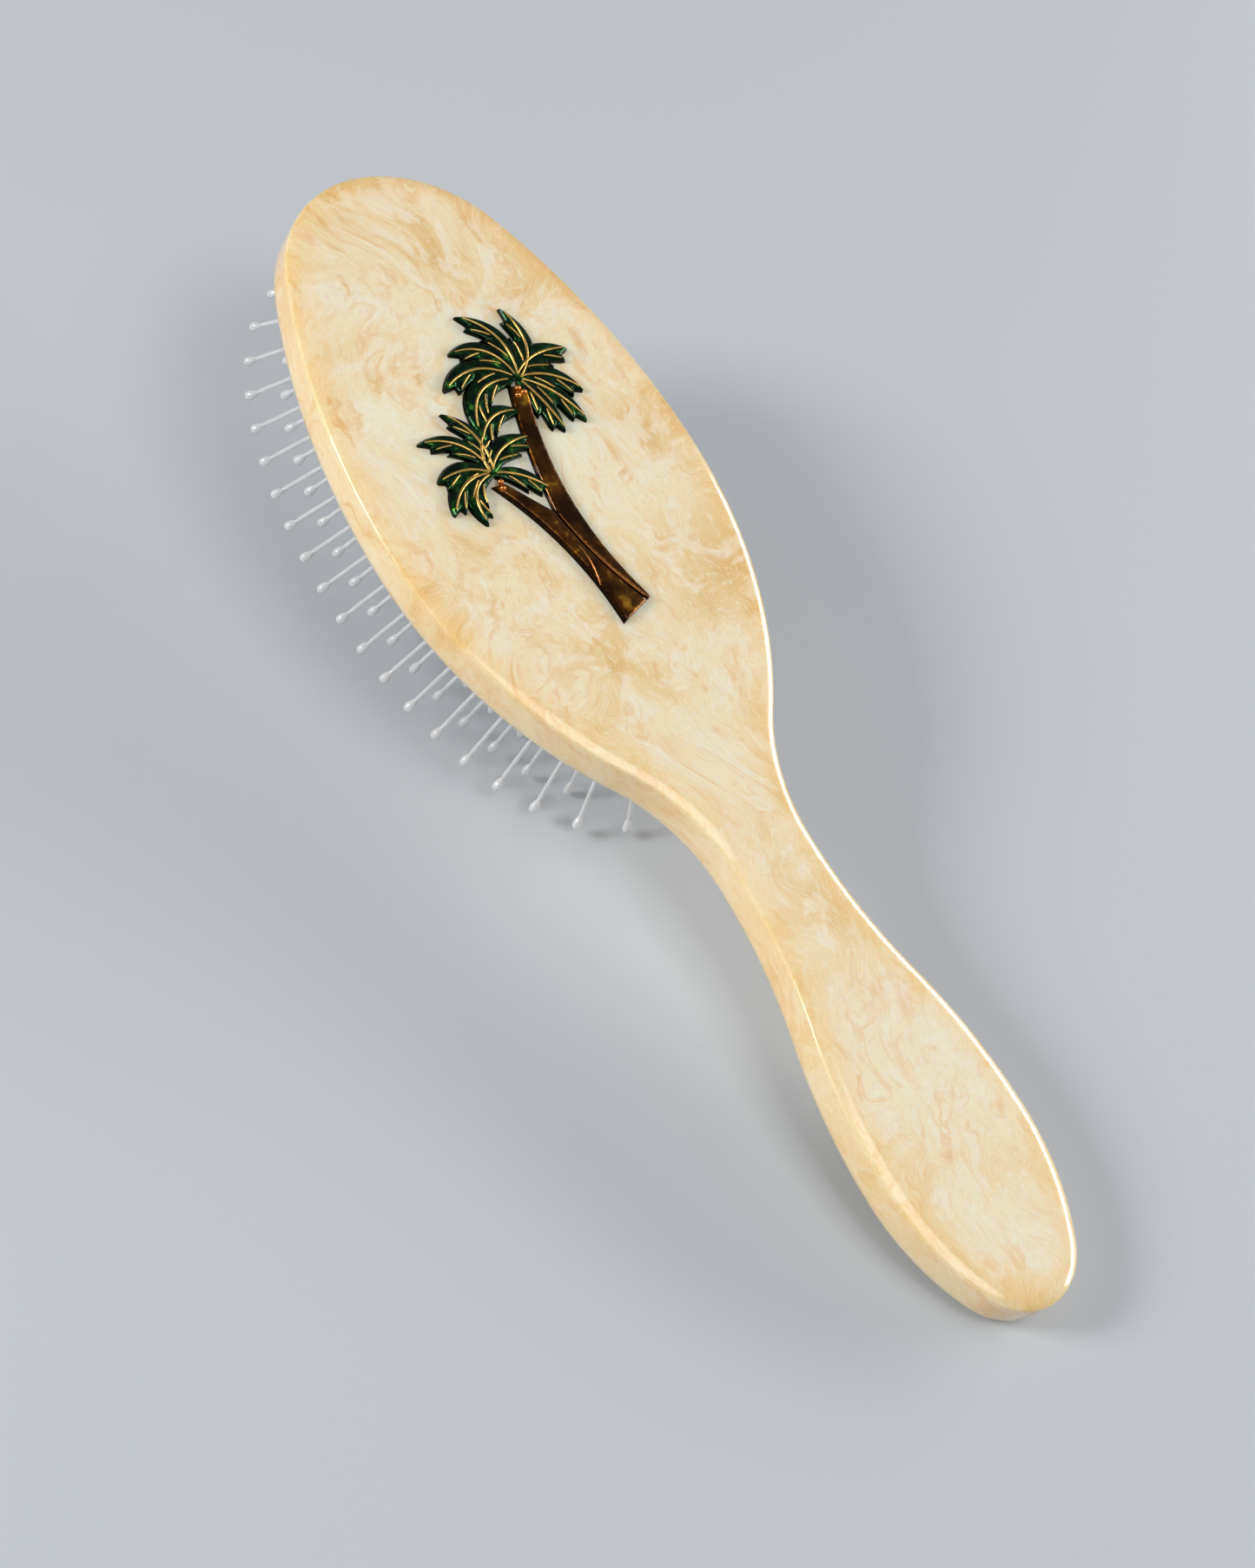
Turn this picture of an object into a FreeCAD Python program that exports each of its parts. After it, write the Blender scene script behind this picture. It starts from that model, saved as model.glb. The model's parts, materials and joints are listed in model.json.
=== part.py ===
"""Oval cushioned hairbrush with an inlaid palm emblem, as a parametric document.

Brush frame used while modelling: X runs from the tip of the head to the end of the handle,
Z is the normal of the slab, z = 0 is the underside and the pins point to -Z.
Every sub-part then gets one common Placement, which stands the brush at rest on its pins and
on the end of its handle, with the origin under the middle of its bounding box.
"""
import FreeCAD, Part
import math
import os
import Sketcher

Vector = FreeCAD.Vector

DIMENSIONS = [
    # slab outline, half of it: arcs tangent to each other, symmetric about X
    ("overall_length", 220.0),
    ("nose_radius", 25.0),
    ("head_widest_at", 65.5),
    ("head_half_width", 34.1),
    ("head_rear_radius", 77.5),
    ("neck_at", 137.0),
    ("neck_half_width", 8.6),
    ("handle_front_radius", 96.0),
    ("handle_widest_at", 191.5),
    ("handle_half_width", 16.5),
    ("handle_end_radius", 12.2),
    ("slab_thickness", 9.5),
    ("back_edge_radius", 1.8),
    ("under_edge_radius", 4.0),
    # oval pocket with its undercut
    ("pocket_centre_at", 60.5),
    ("pocket_half_length", 53.0),
    ("pocket_half_width", 27.5),
    ("pocket_depth", 6.4),
    ("undercut_from", 1.2),
    ("undercut_height", 1.6),
    ("undercut_depth", 1.5),
    # what the pocket holds
    ("fit_gap", 0.1),
    ("liner_thickness", 1.0),
    ("liner_inset", 1.0),
    ("frame_width", 3.2),
    ("rubber_thickness", 1.3),
    ("dome_height", 5.0),
    ("skirt_gap", 0.15),
    # pins
    ("pin_length", 16.6),
    ("pin_shaft_radius", 0.4),
    ("pin_bead_radius", 0.85),
    ("pin_bead_length", 2.6),
    ("pin_head_radius", 1.2),
    ("pin_head_thickness", 0.6),
    ("pin_head_gap", 0.9),
    ("pin_hole_gap", 0.05),
    ("pin_pitch", 5.6),
    ("ring_inset", 4.6),
    ("ring_step", 5.72),
    ("edge_splay", 38.0),
    # air vent
    ("vent_bore_radius", 0.7),
    ("vent_tube_radius", 1.1),
    ("vent_flange_radius", 1.8),
    ("vent_flange_thickness", 0.4),
    # emblem
    ("emblem_at_x", 60.0),
    ("inlay_depth", 0.6),
    ("glue_thickness", 0.1),
    ("plate_thickness", 0.6),
    ("plate_margin", 0.3),
    ("inlay_gap", 0.08),
    ("enamel_thickness", 0.8),
    ("vein_height", 0.22),
    ("vein_half_width", 0.17),
    ("vein_setback", 0.9),
    ("bead_radius", 0.55),
    ("post_radius", 0.8),
    ("post_length", 1.0),
]

RING_COUNT = 4

doc = FreeCAD.newDocument("Hairbrush")
sheet = doc.addObject("Spreadsheet::Sheet", "Dimensions")
for row, (alias, value) in enumerate(DIMENSIONS, start=1):
    sheet.set("A%d" % row, alias)
    sheet.set("B%d" % row, str(value))
    sheet.setAlias("B%d" % row, alias)
doc.recompute()


def size(alias):
    """The value of one cell of the sheet."""
    return float(getattr(sheet, alias))


def bind(thing, **bindings):
    """Binds properties of an object to expressions of the sheet's aliases."""
    for name, text in bindings.items():
        for alias, _ in DIMENSIONS:
            text = replace_word(text, alias)
        thing.setExpression(name, text)


def replace_word(text, alias):
    """Puts the sheet's name before one alias wherever it stands as a whole word."""
    pieces = []
    word = ""
    for letter in text + " ":
        if letter.isalnum() or letter in "_.":
            word += letter
            continue
        pieces.append("Dimensions." + word if word == alias else word)
        pieces.append(letter)
        word = ""
    return "".join(pieces).strip()


# ---------------------------------------------------------------- slab outline

class Outline:
    """Arc centres and joints of the half outline, worked out from the sheet."""

    def __init__(self):
        length = size("overall_length")
        nose = size("nose_radius")
        end = size("handle_end_radius")
        head = Vector(size("head_widest_at"), size("head_half_width"), 0)
        neck = Vector(size("neck_at"), size("neck_half_width"), 0)
        grip = Vector(size("handle_widest_at"), size("handle_half_width"), 0)
        head_rear = size("head_rear_radius")
        grip_front = size("handle_front_radius")
        nose_centre = Vector(nose, 0, 0)
        end_centre = Vector(length - end, 0, 0)
        head_front = inner_tangent_radius(head, nose_centre, nose)
        grip_rear = inner_tangent_radius(grip, end_centre, end)
        head_rear_centre = head - Vector(0, head_rear, 0)
        grip_front_centre = grip - Vector(0, grip_front, 0)
        neck_front = outer_tangent_radius(neck, head_rear_centre, head_rear)
        neck_rear = outer_tangent_radius(neck, grip_front_centre, grip_front)
        neck_front_centre = neck + Vector(0, neck_front, 0)
        neck_rear_centre = neck + Vector(0, neck_rear, 0)
        head_front_centre = head - Vector(0, head_front, 0)
        grip_rear_centre = grip - Vector(0, grip_rear, 0)
        self.centres = [nose_centre, head_front_centre, head_rear_centre, neck_front_centre,
                        neck_rear_centre, grip_front_centre, grip_rear_centre, end_centre]
        self.joints = [
            Vector(0, 0, 0),
            point_towards(head_front_centre, nose_centre, head_front),
            head,
            point_towards(head_rear_centre, neck_front_centre, head_rear),
            neck,
            point_towards(grip_front_centre, neck_rear_centre, grip_front),
            grip,
            point_towards(grip_rear_centre, end_centre, grip_rear),
            Vector(length, 0, 0),
        ]


def inner_tangent_radius(top, centre, radius):
    """Radius of the arc with a level top point that a smaller circle on X touches from inside."""
    across = top.x - centre.x
    return (across ** 2 + top.y ** 2 - radius ** 2) / (2 * (top.y - radius))


def outer_tangent_radius(bottom, centre, radius):
    """Radius of the hollow arc with a level bottom point that touches a circle from outside."""
    across = bottom.x - centre.x
    rise = bottom.y - centre.y
    return (across ** 2 + rise ** 2 - radius ** 2) / (2 * (radius - rise))


def point_towards(centre, target, radius):
    """The point of a circle on the ray from its centre towards another point."""
    return centre + (target - centre).normalize() * radius


def arc_between(centre, start, end):
    """The shorter circular arc from start to end, as Sketcher wants it, and its direction."""
    first = math.atan2(start.y - centre.y, start.x - centre.x)
    last = math.atan2(end.y - centre.y, end.x - centre.x)
    turn = (last - first + math.pi) % (2 * math.pi) - math.pi
    circle = Part.Circle(centre, Vector(0, 0, 1), (start - centre).Length)
    if turn > 0:
        return Part.ArcOfCircle(circle, first, first + turn), (1, 2)
    return Part.ArcOfCircle(circle, last, last - turn), (2, 1)


def origin_plane(body, role):
    """One of a body's own origin planes."""
    return next(item for item in body.Origin.OriginFeatures if item.Role == role)


def new_sketch(body, name, role="XY_Plane"):
    """A sketch attached to one of the body's own origin planes."""
    sketch = body.newObject("Sketcher::SketchObject", name)
    sketch.AttachmentSupport = (origin_plane(body, role), [""])
    sketch.MapMode = "FlatFace"
    return sketch


def draw_half_outline(sketch):
    """Eight tangent arcs above X and the closing line on X, held by dimensions."""
    outline = Outline()
    ends = []
    for index, centre in enumerate(outline.centres):
        arc, points = arc_between(centre, outline.joints[index], outline.joints[index + 1])
        sketch.addGeometry(arc, False)
        ends.append(points)
    line = sketch.addGeometry(Part.LineSegment(outline.joints[-1], outline.joints[0]), False)
    last = len(ends) - 1
    add = sketch.addConstraint
    for index in range(last):
        add(Sketcher.Constraint("Tangent", index, ends[index][1], index + 1, ends[index + 1][0]))
    origin = (-1, 1)
    x_axis = -1
    add(Sketcher.Constraint("Coincident", 0, ends[0][0], *origin))
    add(Sketcher.Constraint("PointOnObject", 0, 3, x_axis))
    add(Sketcher.Constraint("PointOnObject", last, ends[last][1], x_axis))
    add(Sketcher.Constraint("PointOnObject", last, 3, x_axis))
    add(Sketcher.Constraint("Coincident", last, ends[last][1], line, 1))
    add(Sketcher.Constraint("Coincident", 0, ends[0][0], line, 2))
    radii = [(0, "nose_radius"), (2, "head_rear_radius"), (5, "handle_front_radius"),
             (7, "handle_end_radius")]
    for index, alias in radii:
        number = add(Sketcher.Constraint("Radius", index, size(alias)))
        bind(sketch, **{"Constraints[%d]" % number: alias})
    places = [(1, "head_widest_at", "head_half_width"), (3, "neck_at", "neck_half_width"),
              (5, "handle_widest_at", "handle_half_width")]
    for index, along, across in places:
        point = ends[index][1]
        number = add(Sketcher.Constraint("DistanceX", *origin, index, point, size(along)))
        bind(sketch, **{"Constraints[%d]" % number: along})
        number = add(Sketcher.Constraint("DistanceY", *origin, index, point, size(across)))
        bind(sketch, **{"Constraints[%d]" % number: across})
        add(Sketcher.Constraint("Vertical", index, 3, index, point))
    number = add(Sketcher.Constraint("DistanceX", *origin, last, ends[last][1],
                                     size("overall_length")))
    bind(sketch, **{"Constraints[%d]" % number: "overall_length"})


def level_edges(shape, height):
    """Names of the edges that lie level at one height."""
    names = []
    for index, edge in enumerate(shape.Edges, start=1):
        box = edge.BoundBox
        if abs(box.ZMin - height) < 1e-4 and abs(box.ZMax - height) < 1e-4:
            names.append("Edge%d" % index)
    return names


def oval_sketch(body, name, major, minor, height):
    """An ellipse about the pocket's centre, bound to the sheet, at one height."""
    sketch = new_sketch(body, name)
    sketch.AttachmentOffset = FreeCAD.Placement(Vector(0, 0, height), FreeCAD.Rotation())
    centre = Vector(size("pocket_centre_at"), 0, 0)
    oval = sketch.addGeometry(Part.Ellipse(centre, major, minor), False)
    sketch.exposeInternalGeometry(oval)
    add = sketch.addConstraint
    axis_long, axis_short = oval + 1, oval + 2
    add(Sketcher.Constraint("Horizontal", axis_long))
    add(Sketcher.Constraint("PointOnObject", oval, 3, -1))
    number = add(Sketcher.Constraint("DistanceX", -1, 1, oval, 3, centre.x))
    bind(sketch, **{"Constraints[%d]" % number: "pocket_centre_at"})
    long_number = add(Sketcher.Constraint("Distance", axis_long, 2 * major))
    short_number = add(Sketcher.Constraint("Distance", axis_short, 2 * minor))
    return sketch, long_number, short_number


def build_slab():
    """The polished slab: half outline padded and mirrored, rounded, then routed below."""
    body = doc.addObject("PartDesign::Body", "slab")
    sketch = new_sketch(body, "slab_outline")
    draw_half_outline(sketch)
    pad = body.newObject("PartDesign::Pad", "slab_pad")
    pad.Profile = sketch
    bind(pad, Length="slab_thickness")
    doc.recompute()
    mirror = body.newObject("PartDesign::Mirrored", "slab_mirror")
    mirror.Originals = [pad]
    mirror.MirrorPlane = (origin_plane(body, "XZ_Plane"), [""])
    body.Tip = mirror
    doc.recompute()
    previous = mirror
    for name, height, alias in [("back_round", size("slab_thickness"), "back_edge_radius"),
                                ("under_round", 0.0, "under_edge_radius")]:
        fillet = body.newObject("PartDesign::Fillet", name)
        fillet.Base = (previous, level_edges(previous.Shape, height))
        bind(fillet, Radius=alias)
        body.Tip = fillet
        doc.recompute()
        previous = fillet
    cut_oval(body, "pocket", 0.0, "pocket_depth", "0")
    cut_oval(body, "undercut", size("undercut_from"), "undercut_height", "undercut_depth")
    return body


def cut_oval(body, name, height, depth_alias, growth):
    """Cuts an oval prism up into the slab and makes sure that it removed something."""
    extra = 0.0 if growth == "0" else size(growth)
    sketch, long_number, short_number = oval_sketch(
        body, name + "_outline", size("pocket_half_length") + extra,
        size("pocket_half_width") + extra, height)
    bind(sketch, **{"Constraints[%d]" % long_number: "2 * (pocket_half_length + %s)" % growth,
                    "Constraints[%d]" % short_number: "2 * (pocket_half_width + %s)" % growth})
    doc.recompute()
    before = body.Shape.Volume
    pocket = body.newObject("PartDesign::Pocket", name)
    pocket.Profile = sketch
    bind(pocket, Length=depth_alias)
    pocket.Reversed = True
    body.Tip = pocket
    doc.recompute()
    if body.Shape.Volume > before - 1.0:
        raise RuntimeError("the cut %s removed nothing" % name)


# ---------------------------------------------------------------- ovals and domes

def oval_prism(name, major, minor, bottom, height):
    """An elliptic disc or plug about the pocket's centre; sizes are sheet expressions."""
    oval = doc.addObject("Part::Ellipse", name + "_oval")
    bind(oval, MajorRadius=major, MinorRadius=minor)
    oval.setExpression("Placement.Base.x", "Dimensions.pocket_centre_at")
    bind(oval, **{"Placement.Base.z": bottom})
    prism = doc.addObject("Part::Extrusion", name)
    prism.Base = oval
    prism.DirMode = "Custom"
    prism.Dir = Vector(0, 0, 1)
    bind(prism, LengthFwd=height)
    prism.Solid = True
    return prism


def half_dome(name, major, minor, height):
    """The lower half of an ellipsoid about the pocket's centre."""
    dome = doc.addObject("Part::Ellipsoid", name)
    bind(dome, Radius1=height, Radius2=major, Radius3=minor)
    dome.Angle1 = -90
    dome.Angle2 = 0
    dome.setExpression("Placement.Base.x", "Dimensions.pocket_centre_at")
    return dome


def boolean(kind, name, base, tool):
    """A Part::Cut or Part::Common of two objects."""
    result = doc.addObject("Part::" + kind, name)
    result.Base = base
    result.Tool = tool
    return result


def fuse(name, shapes):
    """A Part::MultiFuse of several objects."""
    result = doc.addObject("Part::MultiFuse", name)
    result.Shapes = shapes
    return result


def build_liner():
    """Thin pad glued to the floor of the pocket."""
    return oval_prism("cushion_liner", "pocket_half_length - liner_inset",
                      "pocket_half_width - liner_inset",
                      "pocket_depth - liner_thickness", "liner_thickness")


def build_frame():
    """Oval ring between the rubber's flange and the pad, which holds the flange down."""
    bottom = "undercut_from + undercut_height"
    height = "pocket_depth - liner_thickness - undercut_from - undercut_height"
    outer = oval_prism("frame_outer", "pocket_half_length - fit_gap",
                       "pocket_half_width - fit_gap", bottom, height)
    inner = oval_prism("frame_inner", "pocket_half_length - frame_width",
                       "pocket_half_width - frame_width", bottom, height)
    return boolean("Cut", "cushion_frame", outer, inner)


def build_rubber(pins, vent):
    """Domed rubber cushion with its flange in the undercut, pierced for pins and vent."""
    flange = oval_prism("rubber_flange", "pocket_half_length + undercut_depth - fit_gap",
                        "pocket_half_width + undercut_depth - fit_gap",
                        "undercut_from + fit_gap", "undercut_height - 2 * fit_gap")
    skirt = oval_prism("rubber_skirt", "pocket_half_length - skirt_gap",
                       "pocket_half_width - skirt_gap", "0", "undercut_from + fit_gap")
    dome = half_dome("rubber_dome", "pocket_half_length - skirt_gap",
                     "pocket_half_width - skirt_gap", "dome_height")
    hollow = oval_prism("rubber_hollow",
                        "pocket_half_length - skirt_gap - rubber_thickness",
                        "pocket_half_width - skirt_gap - rubber_thickness",
                        "0", "undercut_from + undercut_height")
    hollow_dome = half_dome("rubber_hollow_dome",
                            "pocket_half_length - skirt_gap - rubber_thickness",
                            "pocket_half_width - skirt_gap - rubber_thickness",
                            "dome_height - rubber_thickness")
    outside = fuse("rubber_outside", [flange, skirt, dome])
    inside = fuse("rubber_inside", [hollow, hollow_dome])
    shell = boolean("Cut", "rubber_shell", outside, inside)
    holes = doc.addObject("Part::Feature", "rubber_holes")
    reach = 2 * size("rubber_thickness")
    tools = []
    for pin in pins:
        tools.append(Part.makeCylinder(size("pin_shaft_radius") + size("pin_hole_gap"),
                                       2 * reach, pin.foot - pin.axis * reach, pin.axis))
    tools.append(Part.makeCylinder(size("vent_tube_radius") + size("pin_hole_gap"),
                                   2 * reach, vent.foot - vent.axis * reach, vent.axis))
    holes.Shape = Part.makeCompound(tools)
    return boolean("Cut", "cushion_membrane", shell, holes)


# ---------------------------------------------------------------- pins

class Pin:
    """Where one pin leaves the rubber and which way it points."""

    def __init__(self, foot, axis):
        self.foot = foot
        self.axis = axis


def dome_share(x, y):
    """Height of the dome above its rim at a place, as a share of its full height."""
    along = (x - size("pocket_centre_at")) / (size("pocket_half_length") - size("skirt_gap"))
    across = y / (size("pocket_half_width") - size("skirt_gap"))
    return math.sqrt(max(0.0, 1.0 - along ** 2 - across ** 2))


def pin_at(x, y, outward, splay):
    """A pin on the dome, leaning outward by the splay angle in degrees."""
    foot = Vector(x, y, -size("dome_height") * dome_share(x, y))
    lean = math.radians(splay)
    return Pin(foot, outward * math.sin(lean) - Vector(0, 0, math.cos(lean)))


def ring_points(inset, count, phase):
    """Evenly spaced places along the oval that runs inside the pocket's edge by an inset."""
    major = size("pocket_half_length") - inset
    minor = size("pocket_half_width") - inset
    steps = 720
    angles = [2 * math.pi * step / steps for step in range(steps + 1)]
    run = [0.0]
    for first, second in zip(angles, angles[1:]):
        run.append(run[-1] + math.hypot(major * (math.cos(second) - math.cos(first)),
                                        minor * (math.sin(second) - math.sin(first))))
    places = []
    for number in range(count):
        target = run[-1] * ((number + phase) % count) / count
        step = next(index for index in range(steps) if run[index + 1] >= target)
        share = (target - run[step]) / (run[step + 1] - run[step])
        angle = angles[step] + share * (angles[1] - angles[0])
        point = Vector(size("pocket_centre_at") + major * math.cos(angle),
                       minor * math.sin(angle), 0)
        outward = Vector(math.cos(angle) / major, math.sin(angle) / minor, 0).normalize()
        places.append((point, outward))
    return places, run[-1]


def plan_ring(number):
    """Pins of one ring; ring 1 is the outermost and leans out the most."""
    inset = size("ring_inset") + (number - 1) * size("ring_step")
    _, length = ring_points(inset, 1, 0.0)
    count = round(length / size("pin_pitch"))
    phase = 0.5 if number % 2 else 0.0
    splay = size("edge_splay") * (RING_COUNT + 1 - number) / RING_COUNT
    places, _ = ring_points(inset, count, phase)
    return [pin_at(point.x, point.y, outward, splay) for point, outward in places]


def plan_centre_row():
    """Upright pins on the centre line, as far as the innermost ring leaves room."""
    inner = (size("pocket_half_length") - size("ring_inset")
             - (RING_COUNT - 1) * size("ring_step") - size("pin_pitch"))
    count = 2 * int(inner / size("pin_pitch")) + 1
    first = -(count - 1) / 2
    outward = Vector(1, 0, 0)
    pins = []
    for number in range(count):
        x = size("pocket_centre_at") + (first + number) * size("pin_pitch")
        pins.append(pin_at(x, 0.0, outward, 0.0))
    return pins


def plan_vent():
    """The vent stands on the centre line at the neck's end, square to the dome."""
    x = size("pocket_centre_at") + size("pocket_half_length") - size("ring_inset")
    share = dome_share(x, 0.0)
    half = size("pocket_half_length") - size("skirt_gap")
    slope = size("dome_height") * (x - size("pocket_centre_at")) / (half ** 2 * share)
    return pin_at(x, 0.0, Vector(1, 0, 0), math.degrees(math.atan(slope)))


def along_axis(shape, pin):
    """Moves a shape made along +Z from the origin onto a pin's foot and axis."""
    shape.Placement = FreeCAD.Placement(pin.foot, FreeCAD.Rotation(Vector(0, 0, 1), pin.axis))
    return shape


def revolved(points, bead_centre=None, bead_end=None):
    """Turns a profile in XZ about Z; the optional bead closes it with a quarter circle."""
    edges = [Part.makeLine(a, b) for a, b in zip(points, points[1:])]
    last = points[-1]
    if bead_centre is not None:
        radius = (last - bead_centre).Length
        middle = bead_centre + Vector(1, 0, 1).normalize() * radius
        edges.append(Part.Arc(last, middle, bead_end).toShape())
        last = bead_end
    edges.append(Part.makeLine(last, points[0]))
    return Part.Face(Part.Wire(edges)).revolve(Vector(), Vector(0, 0, 1), 360)


def pin_shape():
    """One nylon pin along +Z: flat head inside the rubber, shaft, drop-shaped bead."""
    shaft = size("pin_shaft_radius")
    bead = size("pin_bead_radius")
    length = size("pin_length")
    head_top = -size("rubber_thickness") - size("pin_head_gap")
    head_bottom = head_top - size("pin_head_thickness")
    head = size("pin_head_radius")
    profile = [Vector(0, 0, head_bottom), Vector(head, 0, head_bottom),
               Vector(head, 0, head_top), Vector(shaft, 0, head_top),
               Vector(shaft, 0, length - size("pin_bead_length")),
               Vector(bead, 0, length - bead)]
    return revolved(profile, Vector(0, 0, length - bead), Vector(0, 0, length))


def build_pins(name, pins):
    """A node of separate pins."""
    pin = pin_shape()
    node = doc.addObject("Part::Feature", name)
    node.Shape = Part.makeCompound([along_axis(pin.copy(), place) for place in pins])
    return node


def build_vent(vent):
    """Eyelet with a flange on each side of the rubber."""
    bore = size("vent_bore_radius")
    tube = size("vent_tube_radius")
    flange = size("vent_flange_radius")
    gap = size("pin_hole_gap") + 0.1
    under = -size("rubber_thickness") - gap
    thick = size("vent_flange_thickness")
    profile = [Vector(bore, 0, under - thick), Vector(flange, 0, under - thick),
               Vector(flange, 0, under), Vector(tube, 0, under), Vector(tube, 0, gap),
               Vector(flange, 0, gap), Vector(flange, 0, gap + thick),
               Vector(bore, 0, gap + thick), Vector(bore, 0, under - thick)]
    node = doc.addObject("Part::Feature", "vent_eyelet")
    wire = Part.makePolygon(profile)
    shape = Part.Face(wire).revolve(Vector(), Vector(0, 0, 1), 360)
    node.Shape = along_axis(shape, vent)
    return node


# ---------------------------------------------------------------- emblem

# A frond is a leaf from its root to its tip: root x, y, tip x, y, bow to the left of that
# way, half width. Millimetres on the back of the head, from the emblem's own origin.
TALL_FRONDS = [
    (-15.2, 6.2, -29.6, 1.9, -3.0, 2.0),
    (-15.2, 6.2, -28.9, 11.3, -3.0, 1.8),
    (-15.2, 6.2, -17.9, 19.8, 1.5, 2.2),
    (-15.2, 6.2, -9.6, 17.8, 1.5, 2.0),
    (-15.2, 6.2, -4.1, 14.9, 1.2, 1.9),
    (-15.2, 6.2, -3.6, 9.6, 0.3, 1.8),
    (-15.2, 6.2, -23.2, -3.5, -2.8, 2.0),
    (-15.2, 6.2, -17.1, -8.4, -2.6, 2.1),
    (-15.2, 5.5, -7.9, -6.8, -3.2, 2.2),
    (-9.6, 2.6, -6.0, -7.6, -1.8, 2.0),
]
SHORT_FRONDS = [
    (-0.5, -9.0, -13.7, -11.6, -2.0, 1.6),
    (-0.5, -9.0, -9.7, -19.0, -2.6, 1.7),
    (-0.5, -9.0, -2.3, -19.4, -1.0, 1.9),
    (-0.5, -9.0, 4.1, -20.0, -1.8, 1.9),
    (-0.5, -9.0, 7.6, -15.0, -2.4, 1.8),
    (-0.5, -9.0, 5.3, 0.0, 0.8, 1.7),
    (-0.5, -9.0, -4.8, 2.4, 1.5, 2.0),
    (-0.5, -9.0, -7.8, -6.4, 0.8, 1.6),
]
# A trunk is a closed outline of bowed edges: x, y and the bow of the edge that follows.
TALL_TRUNK = [
    (-12.9, 7.3, -4.0), (28.8, 6.0, 0.0), (29.1, 5.0, 0.9), (9.4, -1.8, 0.8), (-14.7, 4.2, 0.6),
]
SHORT_TRUNK = [
    (2.5, -7.0, 0.0), (9.4, -1.8, -0.9), (29.1, 5.0, 0.0), (31.3, -1.6, -2.2), (2.2, -10.6, 0.8),
]
# A seam is a bowed wire: start x, y, end x, y, bow.
SEAMS = [
    (9.9, -1.6, 28.3, 4.6, -0.9),
    (16.1, -1.7, 23.9, -2.3, 0.6),
]
# How far a leaf's tip moves for each unit of margin, so that the margin holds beside it.
TIP_STRETCH = 2.6
COCONUTS = [(-13.6, 5.2), (-12.4, 4.4), (-12.6, 5.9), (1.2, -8.6), (2.4, -8.9)]
POSTS = [(-15.2, 6.2), (1.0, -11.0), (22.0, 1.0)]


def bowed_prism(points, bottom, height):
    """A prism over a closed outline whose edges are straight or bow to the left."""
    edges = []
    for index, (x, y, bow) in enumerate(points):
        start = Vector(x, y, bottom)
        after = points[(index + 1) % len(points)]
        end = Vector(after[0], after[1], bottom)
        chord = end - start
        middle = (start + end) * 0.5 + Vector(-chord.y, chord.x, 0).normalize() * bow
        straight = abs(bow) < 0.05
        edge = Part.makeLine(start, end) if straight else Part.Arc(start, middle, end).toShape()
        edges.append(edge)
    return Part.Face(Part.Wire(edges)).extrude(Vector(0, 0, height))


def leaf_prism(frond, bottom, height, margin=0.0, stretch=0.0):
    """A prism over one leaf, widened by a margin each side and stretched along its midline."""
    root_x, root_y, tip_x, tip_y, bow, half_width = frond
    chord = Vector(tip_x - root_x, tip_y - root_y, 0)
    lean = 2 * math.atan2(2 * bow, chord.Length)
    chord.normalize()
    across = Vector(-chord.y, chord.x, 0)
    along = chord * (math.cos(lean) * stretch)
    aside = across * (math.sin(lean) * stretch)
    root = Vector(root_x, root_y, 0) - along - aside
    tip = Vector(tip_x, tip_y, 0) + along - aside
    middle_bow = bow + math.sin(lean) * stretch
    wide = half_width + margin
    return bowed_prism([(root.x, root.y, middle_bow + wide), (tip.x, tip.y, wide - middle_bow)],
                       bottom, height)


def grown_outline(points, margin):
    """A bowed outline moved out by a margin, corner by corner along its mitres."""
    corners = [Vector(x, y, 0) for x, y, _ in points]
    ways = [(after - here).normalize() for here, after in zip(corners, corners[1:] + corners[:1])]
    area = sum(here.cross(after).z for here, after in zip(corners, corners[1:] + corners[:1]))
    side = 1 if area < 0 else -1
    grown = []
    for index, (corner, point) in enumerate(zip(corners, points)):
        before, after = [Vector(-way.y, way.x, 0) * side for way in (ways[index - 1], ways[index])]
        moved = corner + (before + after) * (margin / (1 + before.dot(after)))
        grown.append((moved.x, moved.y, point[2]))
    return grown


def emblem_outline(margin, bottom, height):
    """The whole emblem's silhouette as one prism."""
    prisms = [leaf_prism(frond, bottom, height, margin, margin * TIP_STRETCH)
              for frond in TALL_FRONDS + SHORT_FRONDS]
    prisms += [bowed_prism(grown_outline(trunk, margin), bottom, height)
               for trunk in (TALL_TRUNK, SHORT_TRUNK)]
    return prisms[0].multiFuse(prisms[1:]).removeSplitter()


def emblem_feature(name, shape):
    """Puts a shape drawn about the emblem's origin into the document, in its place."""
    feature = doc.addObject("Part::Feature", name)
    shape.translate(Vector(size("emblem_at_x"), 0, 0))
    feature.Shape = shape
    return feature


def joined(prisms):
    """One shape from several that overlap."""
    return prisms[0].multiFuse(prisms[1:]).removeSplitter()


def post_shape(radius, bottom, top):
    """The posts, or their holes, as separate cylinders."""
    return Part.makeCompound([Part.makeCylinder(radius, top - bottom, Vector(x, y, bottom))
                              for x, y in POSTS])


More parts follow.
